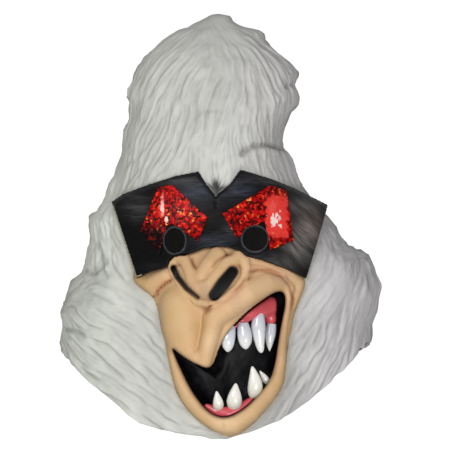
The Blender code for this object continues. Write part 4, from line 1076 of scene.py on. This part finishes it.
# Round each eye hole: a dark line just outside the moulded ring, a painted highlight along its top, and black within.
for side in EYE_RINGS:
    gap = eye_distance(flat, side)
    plate_paint = blend(plate_paint, [0.004, 0.004, 0.005], np.exp(-(((gap - 0.0021) / 0.0009) ** 2)) * 0.8)
    plate_paint = blend(plate_paint, [0.070, 0.074, 0.084], np.exp(-(((gap - 0.0004) / 0.0006) ** 2)) * 0.9)
    plate_paint = blend(plate_paint, [0.004, 0.004, 0.005], smooth((-0.0002 - gap) / 0.0008))
raw_side = (edge_gap < 0.0011) & (flat[:, 0] < -0.066) & (in_picture[:, 1] > 205)
plate_paint[raw_side] = [0.42, 0.39, 0.27]
plate_piece = mesh_piece("eye_mask_band", points, faces, plate_paint)
brush_layer = plate_piece.data.color_attributes.new("brush", "FLOAT_COLOR", "POINT")
brush_layer.data.foreach_set("color", np.column_stack([brush_run, np.ones(len(points))]).ravel())


def satin_black(name):
    """Black paint with a low sheen; its brush marks are in the piece's own paint."""
    material = painted_latex(name, 0.42, 0.25, 700.0, 0.20)
    material.node_tree.nodes["Principled BSDF"].inputs["Specular IOR Level"].default_value = 0.13
    return material


def brushed_black(name):
    """The satin black with fine hair lines left by the brush, along the way that it ran."""
    material = satin_black(name)
    tree = material.node_tree
    shader = tree.nodes["Principled BSDF"]
    toned = shader.inputs["Base Color"].links[0].from_node
    way = node(tree, "ShaderNodeAttribute", (-1100, 500), attribute_name="brush")
    lines = node(tree, "ShaderNodeTexNoise", (-900, 500))
    lines.inputs["Scale"].default_value = 1.0
    lines.inputs["Detail"].default_value = 3.0
    strength = node(tree, "ShaderNodeMapRange", (-650, 500))
    strength.inputs["From Min"].default_value = 0.34
    strength.inputs["From Max"].default_value = 0.68
    strength.inputs["To Min"].default_value = 0.50
    strength.inputs["To Max"].default_value = 1.60
    brushed = node(tree, "ShaderNodeVectorMath", (-250, 400), operation="SCALE")
    link = tree.links.new
    link(way.outputs["Color"], lines.inputs["Vector"])
    link(lines.outputs["Fac"], strength.inputs["Value"])
    link(toned.outputs["Vector"], brushed.inputs[0])
    link(strength.outputs["Result"], brushed.inputs["Scale"])
    link(brushed.outputs["Vector"], shader.inputs["Base Color"])
    return material


plate_piece.data.materials.append(brushed_black("eye_mask_black"))
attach(plate_piece, "root")
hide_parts("eye_mask")

# Foil patches. Crinkled red holographic film, cut as two bent strips and glued on over the eyes.
# They stop just short of the eye holes.

# Outer edge and inner edge of each strip, end to end.
FOIL_STRIPS = {
    "left": ([(140.6, 231.5), (157.3, 189.2), (160.7, 187.3), (172.5, 185.1), (207.4, 217.6)],
             [(159.5, 254.8), (167.0, 226.0), (168.5, 225.0), (172.5, 223.6), (198.2, 241.2)]),
    "right": ([(222.4, 213.8), (269.8, 185.6), (286.4, 190.9), (293.3, 240.2)],
              [(236.8, 237.7), (261.5, 222.0), (264.5, 221.5), (270.2, 249.7)]),
}
FOIL_LIFT = 0.0006
FOIL_WALL = 0.0005
FOIL_MARGIN = 0.0010
FOIL_STEP = 0.0006


def red_film(name):
    """Holographic film: small flakes of foil, each a red or orange of its own, under a clear skin."""
    material = bpy.data.materials.new(name)
    material.use_nodes = True
    tree = material.node_tree
    shader = tree.nodes["Principled BSDF"]
    shader.inputs["Metallic"].default_value = 0.18
    shader.inputs["Roughness"].default_value = 0.42
    shader.inputs["Specular IOR Level"].default_value = 0.12
    shader.inputs["Coat Weight"].default_value = 0.05
    shader.inputs["Coat Roughness"].default_value = 0.20
    where = node(tree, "ShaderNodeTexCoord", (-1500, 200))
    bend = node(tree, "ShaderNodeTexNoise", (-1300, 0))
    bend.inputs["Scale"].default_value = 180.0
    bent = node(tree, "ShaderNodeMix", (-1100, 200), data_type="VECTOR")
    bent.inputs["Factor"].default_value = 0.0022
    flakes = node(tree, "ShaderNodeTexVoronoi", (-900, 200))
    flakes.inputs["Scale"].default_value = 480.0
    tone = node(tree, "ShaderNodeSeparateColor", (-900, -100))
    clouds = node(tree, "ShaderNodeTexNoise", (-900, 500))
    clouds.inputs["Scale"].default_value = 210.0
    clouds.inputs["Detail"].default_value = 2.0
    shared = node(tree, "ShaderNodeMix", (-700, 200), data_type="FLOAT")
    shared.inputs[0].default_value = 0.42
    ramp = node(tree, "ShaderNodeValToRGB", (-500, 200))
    stops = ((0.26, (0.030, 0.001, 0.001)), (0.38, (0.12, 0.001, 0.001)), (0.51, (0.34, 0.001, 0.001)),
             (0.70, (0.66, 0.004, 0.003)), (0.765, (0.90, 0.045, 0.008)), (0.83, (1.0, 0.38, 0.07)))
    while len(ramp.color_ramp.elements) < len(stops):
        ramp.color_ramp.elements.new(0.5)
    for element, (place, colour) in zip(ramp.color_ramp.elements, stops):
        element.position = place
        element.color = (*colour, 1)
    paint = node(tree, "ShaderNodeAttribute", (-500, -100), attribute_name="paint")
    mixed = node(tree, "ShaderNodeMix", (-200, 100), data_type="RGBA")
    lift = node(tree, "ShaderNodeBump", (-200, -250))
    lift.inputs["Strength"].default_value = 0.5
    lift.inputs["Distance"].default_value = 0.0008
    link = tree.links.new
    link(where.outputs["Object"], bend.inputs["Vector"])
    link(where.outputs["Object"], bent.inputs[4])
    link(bend.outputs["Color"], bent.inputs[5])
    link(bent.outputs[1], flakes.inputs["Vector"])
    link(flakes.outputs["Color"], tone.inputs["Color"])
    link(where.outputs["Object"], clouds.inputs["Vector"])
    link(tone.outputs[0], shared.inputs[2])
    link(clouds.outputs["Fac"], shared.inputs[3])
    link(shared.outputs[0], ramp.inputs["Fac"])
    link(ramp.outputs["Color"], mixed.inputs[6])
    link(paint.outputs["Color"], mixed.inputs[7])
    link(paint.outputs["Alpha"], mixed.inputs[0])
    link(mixed.outputs[2], shader.inputs["Base Color"])
    link(tone.outputs[1], lift.inputs["Height"])
    link(lift.outputs["Normal"], shader.inputs["Normal"])
    return material


film = red_film("red_foil_film")
for side, (outer_edge, inner_edge) in FOIL_STRIPS.items():
    outer_edge, inner_edge = seen(outer_edge), seen(inner_edge)
    lines = []
    for k in range(len(outer_edge) - 1):
        steps = max(2, round(np.linalg.norm(outer_edge[k + 1] - outer_edge[k]) / FOIL_STEP))
        for t in np.arange(steps + (k == len(outer_edge) - 2)) / steps:
            a = outer_edge[k] + (outer_edge[k + 1] - outer_edge[k]) * t
            b = inner_edge[k] + (inner_edge[k + 1] - inner_edge[k]) * t
            reach = np.linspace(0, 1, 200)[:, None] * (b - a) + a
            inside = eye_distance(reach, side) < FOIL_MARGIN
            if inside.any():
                b = reach[max(1, int(np.argmax(inside)) - 1)]
            lines.append((a, b))
    across_count = round(0.026 / FOIL_STEP)
    shares = np.linspace(0, 1, across_count)[:, None]
    flat = np.array([a + (b - a) * shares for a, b in lines])
    plate = plate_back(flat[..., 0], flat[..., 1])
    step = EYE_MASK_STEP / 2
    tilt_x = (plate_back(flat[..., 0] + step, flat[..., 1]) - plate_back(flat[..., 0] - step, flat[..., 1])) / 2 / step
    tilt_z = (plate_back(flat[..., 0], flat[..., 1] + step) - plate_back(flat[..., 0], flat[..., 1] - step)) / 2 / step
    tilt = np.sqrt(1 + np.minimum(np.hypot(tilt_x, tilt_z), 3.0) ** 2)
    crinkle_at = np.concatenate([flat, plate[..., None]], -1)
    crinkle = 0.0005 * np.abs(lumps(crinkle_at, 0.0045, 31)) + 0.0003 * np.abs(lumps(crinkle_at, 0.0022, 32))
    front = plate + (EYE_MASK_WALL + FOIL_LIFT) * tilt
    top = np.stack([flat[..., 0], -(front + FOIL_WALL + crinkle), flat[..., 1]], -1)
    bottom = np.stack([flat[..., 0], -(front + crinkle * 0.4), flat[..., 1]], -1)
    count = len(lines)
    points = np.vstack([top.reshape(-1, 3), bottom.reshape(-1, 3)])
    index = np.arange(count * across_count).reshape(count, across_count)
    quads = np.stack([index[:-1, :-1], index[:-1, 1:], index[1:, 1:], index[1:, :-1]], -1).reshape(-1, 4)
    edge = np.concatenate([index[0, :-1], index[:-1, -1], index[-1, :0:-1], index[:0:-1, 0]])
    after = np.roll(edge, -1)
    layer = count * across_count
    rim = np.stack([edge, edge + layer, after + layer, after], -1)
    faces = np.vstack([quads, quads[:, ::-1] + layer, rim])
    picture = np.stack([points[:, 0] / PIXEL[0] + MIDDLE_PIXEL[0], row_of(points[:, 2])], -1)
    paint = np.zeros((len(points), 4))
    ragged = 0.55 * lumps(points, 0.0030, 34) + 0.35 * lumps(points, 0.0014, 35)
    if side == "left":
        # Painted light on the left strip: darker towards its lower left, with a pale gleam and a glint as painted
        # highlights.
        dark = smooth((picture[:, 1] - 214) / 26) * smooth((171 - picture[:, 0]) / 12)
        streaks = lumps(points * np.array([1, 1, 2.6]), 0.0024, 33)
        paint[:, :3] = [0.006, 0.001, 0.001]
        paint[:, 3] = np.clip(dark * 1.35 - 0.55 * smooth(streaks * 3 - 0.4), 0, 1)
        gap = np.linalg.norm((picture - (162.6, 206)) / (3.4, 15), axis=-1) + 0.5 * ragged
        gleam = smooth((1.0 - gap) / 0.5)
        paint = blend(paint, [0.90, 0.13, 0.10, 0.9], gleam)
        paint = blend(paint, [1.0, 0.66, 0.60, 1.0], smooth((0.55 - gap) / 0.3))
        glint = np.linalg.norm((picture - (166.5, 220)) / (2.2, 3.5), axis=-1) + 0.7 * ragged
        paint = blend(paint, [1.0, 0.62, 0.50, 1.0], smooth((0.9 - glint) / 0.3))
    else:
        # The arm to the right of the eye faces the light: it is painted brighter red as painted light, with a
        # paler patch and a white star as painted highlights.
        arm = smooth((picture[:, 0] - 264.5 + 5 * ragged) / 3) * smooth((239 - picture[:, 1] + 10 * ragged) / 6)
        arm *= smooth((picture[:, 1] - 193 + 10 * ragged) / 6) * smooth((289 - picture[:, 0] + 6 * ragged) / 3)
        paint[:, :3] = [1.0, 0.058, 0.046]
        paint[:, 3] = arm * 0.94
        pale = np.linalg.norm((picture - (272, 207)) / (6, 10), axis=-1) + 0.5 * ragged
        paint = blend(paint, [1.0, 0.13, 0.10, 0.96], smooth((1.0 - pale) / 0.8) * arm * 0.8)
        star = np.linalg.norm((picture - (275.0, 219)) / (6.5, 8.5), axis=-1) + 1.6 * ragged
        paint = blend(paint, [1.0, 0.84, 0.76, 1.0], smooth((0.62 - star) / 0.16))
    foil = mesh_piece(f"foil_patch_{side}", points, faces.tolist(), paint)
    foil.data.materials.append(film)
    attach(foil, "root")
    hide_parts(f"foil_{side}")

# Mouth lining. A bowl of thin latex glued in behind the lips and painted satin black.

MOUTH_CENTRE = (225.1, 385.0)
LINING_RAYS, LINING_RINGS = 180, 34
LINING_WALL = 0.0020
BOWL_DEPTH = 0.0225
turns = np.linspace(-math.pi, math.pi, LINING_RAYS, endpoint=False)
centre = seen(MOUTH_CENTRE)
mouth_line = seen(rounded(MOUTH_OUTLINE))
closed = np.vstack([mouth_line, mouth_line[:1]])
reaches = np.zeros(LINING_RAYS)
for n, turn in enumerate(turns):
    ray = np.array([math.cos(turn), math.sin(turn)])
    for a, b in zip(closed[:-1] - centre, closed[1:] - centre):
        edge = b - a
        cross = ray[0] * edge[1] - ray[1] * edge[0]
        if abs(cross) > 1e-12:
            along_ray = (a[0] * edge[1] - a[1] * edge[0]) / cross
            along_edge = (a[0] * ray[1] - a[1] * ray[0]) / cross
            if -1e-6 <= along_edge <= 1 + 1e-6:
                reaches[n] = max(reaches[n], along_ray)
# Along the flap's edge the rays run almost with the lip, so each one reaches as far as those beside it.
reaches = np.maximum(reaches, np.maximum(np.roll(reaches, 1), np.roll(reaches, -1))) + 0.0014
rim_flat = centre + np.stack([np.cos(turns), np.sin(turns)], -1) * reaches[:, None]
rim_ahead = head_ahead(rim_flat[:, 0], rim_flat[:, 1]) - 0.0028
floor_ahead = rim_ahead.min() - BOWL_DEPTH + 0.0028
inner, outer_skin = [], []
for k in range(LINING_RINGS + 1):
    lean = math.radians(89.0) * k / LINING_RINGS
    radial, depth = math.cos(lean) ** 0.5, math.sin(lean) ** 0.6
    flat = centre + (rim_flat - centre) * radial
    level = rim_ahead + (floor_ahead - rim_ahead) * depth
    place = np.stack([flat[:, 0], -level, flat[:, 1]], -1)
    ripple = lumps(place, 0.011, 41) * 0.0012 + lumps(place, 0.0045, 42) * 0.0005
    inner.append(place + np.array([0, 1, 0]) * (ripple * depth)[:, None])
    wide = centre + (rim_flat - centre) * radial * (1 + LINING_WALL / 0.045)
    outer_skin.append(np.stack([wide[:, 0], -level + LINING_WALL * (k > 0), wide[:, 1]], -1))
rings = inner[::-1] + outer_skin
points = np.vstack(rings)
faces = []
for k in range(len(rings) - 1):
    for n in range(LINING_RAYS):
        m = (n + 1) % LINING_RAYS
        faces.append((k * LINING_RAYS + n, (k + 1) * LINING_RAYS + n, (k + 1) * LINING_RAYS + m, k * LINING_RAYS + m))
faces.append(tuple(range(LINING_RAYS)))
faces.append(tuple((len(rings) - 1) * LINING_RAYS + n for n in range(LINING_RAYS))[::-1])
lining_paint = np.tile([0.0045, 0.0045, 0.0055], (len(points), 1))
# Grey mottles over the black, partly brush texture and partly painted sheen.
brush_and_sheen_mottles = smooth(0.35 + 0.8 * lumps(points, 0.014, 43) + 0.5 * lumps(points, 0.0045, 44))
lining_paint = blend(lining_paint, [0.016, 0.016, 0.020], brush_and_sheen_mottles)
mouth_bowl = mesh_piece("mouth_bowl", points, faces, lining_paint)
mouth_bowl.data.materials.append(satin_black("mouth_black"))
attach(mouth_bowl, "root")
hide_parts("mouth_lining")

# Gums. Soft red latex bars set just behind the lips, swollen round the root of each tooth and
# painted with a wet gloss.

GUM_ROLLS = {
    "upper": [(230, 328, -11, 2.4), (237, 321, -11.5, 4.6), (247, 313, -12, 6.8), (258, 308, -12.5, 8.6),
              (268, 306, -13, 9.4), (272.5, 306, -13, 7.0)],
    "lower": [(207, 405, -9, 2.6), (217, 410.5, -9.5, 5.0), (228, 412.5, -10, 6.4), (240, 410, -10, 6.8),
              (250, 403, -9.5, 5.6), (258, 396.5, -9, 3.0)],
}
GUM_SWELLS = {
    "upper": [(230.5, 327, -9.6, 3.0), (243, 320, -10.5, 4.2), (252, 311, -11, 6.2), (270.5, 318, -11.5, 5.6)],
    "lower": [(214, 412, -9.4, 3.6), (226, 413, -9.2, 4.2), (244, 409, -9.2, 4.6), (251, 402, -9.4, 4.0)],
}
GUM_STEP = 0.0009


def wet_gum(name):
    return painted_latex(name, 0.34, 0.25, 800.0, 0.16, coat=0.8)


gum_paint_finish = wet_gum("gum_gloss")
for jaw, rows in GUM_ROLLS.items():
    line, radii = in_space(rows)
    swells_at, swell_radii = in_space(GUM_SWELLS[jaw])
    low = np.minimum(line.min(0), swells_at.min(0)) - 0.013
    high = np.maximum(line.max(0), swells_at.max(0)) + 0.013
    gum_axes = axes_between(low, high, GUM_STEP)
    field = np.full([len(a) for a in gum_axes], 0.02, np.float32)
    lay_roll(field, gum_axes, line, radii, 0.002)
    for place, radius in zip(swells_at, swell_radii):
        lay_roll(field, gum_axes, np.array([place, place + [0, 0, 0.0004]]), [radius, radius], 0.0022)
    gum_flat = np.stack(np.meshgrid(gum_axes[0], gum_axes[2], indexing="ij"), -1)
    inside_mouth = polygon_distance(gum_flat, seen(rounded(MOUTH_OUTLINE)))[:, None, :] + 0.0002
    field = kept_within(field, np.broadcast_to(inside_mouth, field.shape), 0.0015)
    if jaw == "upper":
        right_end = (gum_flat[..., 0] - seen((276.5, 300))[0])[:, None, :]
        field = kept_within(field, np.broadcast_to(right_end, field.shape), 0.002)
    points, faces = cast_skin(field, gum_axes)
    points = eased(points, faces)
    redness = smooth(0.5 + 0.7 * lumps(points, 0.008, 51))
    gum_paint = blend([0.60, 0.064, 0.082], [0.80, 0.100, 0.122], redness)
    if jaw == "lower":
        gum_paint = blend(gum_paint, [0.76, 0.100, 0.125], np.full(len(points), 0.7))
    gum = mesh_piece(f"gum_{jaw}", points, faces, gum_paint)
    gum.data.materials.append(gum_paint_finish)
    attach(gum, "root")
    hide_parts(f"{jaw}_gum")

# Teeth. Eight cast resin teeth, blue grey at the root above and ivory below, each pushed into its
# gum and finished glossy.

# Root and tip in the picture, width in pixels, bow to the side in pixels, lift of root and tip in
# millimetres, and the profile.
TEETH = {
    "upper_tooth_1": ((230.3, 325), (227.6, 351.0), 14.0, -0.9, -8.5, -6.0, "blunt"),
    "upper_tooth_2": ((242.6, 322), (245.8, 348.4), 14.6, 0.4, -8.8, -6.2, "blunt"),
    "upper_tooth_3": ((258.6, 310.0), (261.0, 352.0), 14.6, -1.6, -7.6, -5.0, "canine"),
    "upper_tooth_4": ((271.4, 323), (269.2, 350.2), 11.4, -0.8, -9.5, -7.0, "fang"),
    "lower_tooth_1": ((218.6, 410.2), (216.6, 389.6), 11.0, -0.4, -7.5, -5.5, "leaf"),
    "lower_tooth_2": ((233.8, 409.2), (235.8, 381.8), 15.6, 0.2, -7.5, -5.5, "leaf"),
    "lower_tooth_3": ((254.0, 397.6), (252.0, 365.0), 15.4, -1.9, -7.5, -5.5, "leaf"),
    "lower_tooth_4": ((269.0, 383.6), (259.4, 369.6), 7.4, 0.0, -9.6, -7.6, "leaf"),
}
# Share of the length from root to tip, and share of the full width there.
PROFILES = {
    "blunt": [(0, 0.72), (0.15, 0.86), (0.35, 0.98), (0.52, 1.0), (0.68, 0.93), (0.82, 0.74), (0.92, 0.48),
              (0.97, 0.26), (1, 0.03)],
    "canine": [(0, 0.10), (0.02, 0.42), (0.06, 0.62), (0.15, 0.82), (0.30, 0.98), (0.42, 1.0), (0.58, 0.88),
               (0.75, 0.68), (0.88, 0.52), (0.95, 0.38), (0.985, 0.22), (1, 0.03)],
    "fang": [(0, 0.80), (0.20, 0.96), (0.38, 1.0), (0.55, 0.86), (0.72, 0.62), (0.86, 0.38), (0.95, 0.20), (1, 0.03)],
    "leaf": [(0, 0.08), (0.015, 0.34), (0.05, 0.58), (0.12, 0.80), (0.24, 0.97), (0.36, 1.0), (0.52, 0.90),
             (0.68, 0.70), (0.82, 0.46), (0.92, 0.30), (0.975, 0.17), (1, 0.03)],
}
TOOTH_SIDES, TOOTH_RINGS = 28, 30
TOOTH_THICKNESS = 0.78


def enamel(name):
    """Glossy resin, faintly cloudy and finely pitted."""
    material = painted_latex(name, 0.20, 0.10, 300.0, 0.06, coat=0.9)
    shader = material.node_tree.nodes["Principled BSDF"]
    shader.inputs["Coat Roughness"].default_value = 0.05
    return material


tooth_finish = enamel("tooth_enamel")
for name, (root, tip, width, bow, root_lift, tip_lift, kind) in TEETH.items():
    root, tip = np.array(root, float), np.array(tip, float)
    side_way = np.array([tip[1] - root[1], root[0] - tip[0]])
    side_way /= np.linalg.norm(side_way)
    profile = np.array(PROFILES[kind])
    along = (1 - np.cos(np.linspace(0, math.pi, TOOTH_RINGS))) / 2
    rings = []
    for share in along:
        middle = root + (tip - root) * share + side_way * bow * math.sin(math.pi * share)
        place = seen(middle)
        lift = (root_lift + (tip_lift - root_lift) * math.sin(share * math.pi / 2)) / 1000
        ahead = float(head_ahead(*(np.array([v]) for v in seen(root)))[0]) + lift
        half = np.interp(share, profile[:, 0], profile[:, 1]) * width * PIXEL[0] / 2
        turn = np.linspace(0, 2 * math.pi, TOOTH_SIDES, endpoint=False)
        wide = side_way * [1, -1]
        ring_x = place[0] + np.cos(turn) * half * wide[0]
        ring_z = place[1] + np.cos(turn) * half * wide[1]
        rings.append(np.stack([ring_x, -ahead - np.sin(turn) * half * TOOTH_THICKNESS, ring_z], -1))
    points = np.vstack(rings)
    faces = []
    for k in range(TOOTH_RINGS - 1):
        for n in range(TOOTH_SIDES):
            m = (n + 1) % TOOTH_SIDES
            faces.append((k * TOOTH_SIDES + n, k * TOOTH_SIDES + m, (k + 1) * TOOTH_SIDES + m, (k + 1) * TOOTH_SIDES + n))
    faces.append(tuple(range(TOOTH_SIDES))[::-1])
    faces.append(tuple((TOOTH_RINGS - 1) * TOOTH_SIDES + n for n in range(TOOTH_SIDES)))
    down_it = np.repeat(along, TOOTH_SIDES)
    if name.startswith("upper"):
        tooth_paint = blend([0.62, 0.65, 0.72], [0.90, 0.90, 0.88], smooth(down_it * 1.15 - 0.15))
    else:
        tooth_paint = blend([0.80, 0.78, 0.68], [0.95, 0.94, 0.86], smooth(down_it * 2.2 - 0.25))
    tooth = mesh_piece(f"{name}_resin", points, faces, tooth_paint)
    tooth.data.materials.append(tooth_finish)
    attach(tooth, "root")
    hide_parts(name)

# Studio. A plain pale floor and soft light from all round, seen level from straight ahead with a
# long lens, as in the photograph.

CAMERA_DISTANCE = 16.0
PICTURE_WIDTH = 450 * PIXEL[0]
aim = seen((225, 225))
lens = bpy.data.cameras.new("camera")
lens.sensor_width = 36.0
lens.lens = lens.sensor_width * CAMERA_DISTANCE / PICTURE_WIDTH
camera = bpy.data.objects.new("camera", lens)
camera.location = (aim[0], -CAMERA_DISTANCE, aim[1])
camera.rotation_euler = (math.radians(90), 0, 0)
bpy.context.scene.collection.objects.link(camera)
bpy.context.scene.camera = camera

floor_mesh = bpy.data.meshes.new("floor")
FLOOR_HEIGHT, FLOOR_REACH = -1.3, 6.0
ROOM_LIGHT = 0.30
corners = [(-FLOOR_REACH, -FLOOR_REACH), (FLOOR_REACH, -FLOOR_REACH), (FLOOR_REACH, FLOOR_REACH),
           (-FLOOR_REACH, FLOOR_REACH)]
floor_mesh.from_pydata([(x, y, FLOOR_HEIGHT) for x, y in corners], [], [(0, 1, 2, 3)])
floor = bpy.data.objects.new("floor", floor_mesh)
bpy.context.scene.collection.objects.link(floor)
floor_paint = bpy.data.materials.new("floor_paint")
floor_paint.use_nodes = True
floor_paint.node_tree.nodes["Principled BSDF"].inputs["Base Color"].default_value = (0.92, 0.92, 0.92, 1)
floor_paint.node_tree.nodes["Principled BSDF"].inputs["Roughness"].default_value = 0.9
floor_mesh.materials.append(floor_paint)

world = bpy.data.worlds.new("studio")
world.use_nodes = True
room = world.node_tree.nodes["Background"]
room.inputs["Color"].default_value = (1.0, 1.0, 1.0, 1)
# The backdrop is white to the eye, and gives the mask a third of that as light.
eye_ray = node(world.node_tree, "ShaderNodeLightPath", (-600, 0))
glow = node(world.node_tree, "ShaderNodeMapRange", (-300, 0))
glow.inputs["To Min"].default_value = ROOM_LIGHT
glow.inputs["To Max"].default_value = 1.05
world.node_tree.links.new(eye_ray.outputs["Is Camera Ray"], glow.inputs["Value"])
world.node_tree.links.new(glow.outputs["Result"], room.inputs["Strength"])
bpy.context.scene.world = world
bpy.context.scene.view_settings.view_transform = "Standard"


def soft_light(name, place, size, power, colour=(1, 1, 1)):
    """A square soft box that faces the mask."""
    light = bpy.data.lights.new(name, "AREA")
    light.shape = "SQUARE"
    light.size = size
    light.energy = power
    light.color = colour
    box = bpy.data.objects.new(name, light)
    box.location = place
    towards = np.array([0, 0, -0.12]) - np.array(place)
    flat_run = math.hypot(towards[0], towards[1])
    box.rotation_euler = (math.atan2(flat_run, -towards[2]), 0, math.atan2(towards[1], towards[0]) - math.pi / 2)
    bpy.context.scene.collection.objects.link(box)


soft_light("key", (-0.75, -1.8, 0.65), 0.7, 15.0)
soft_light("low_fill", (0.45, -2.2, -0.55), 0.7, 16.5)
soft_light("back", (0.0, 2.4, -0.05), 0.9, 16.0)
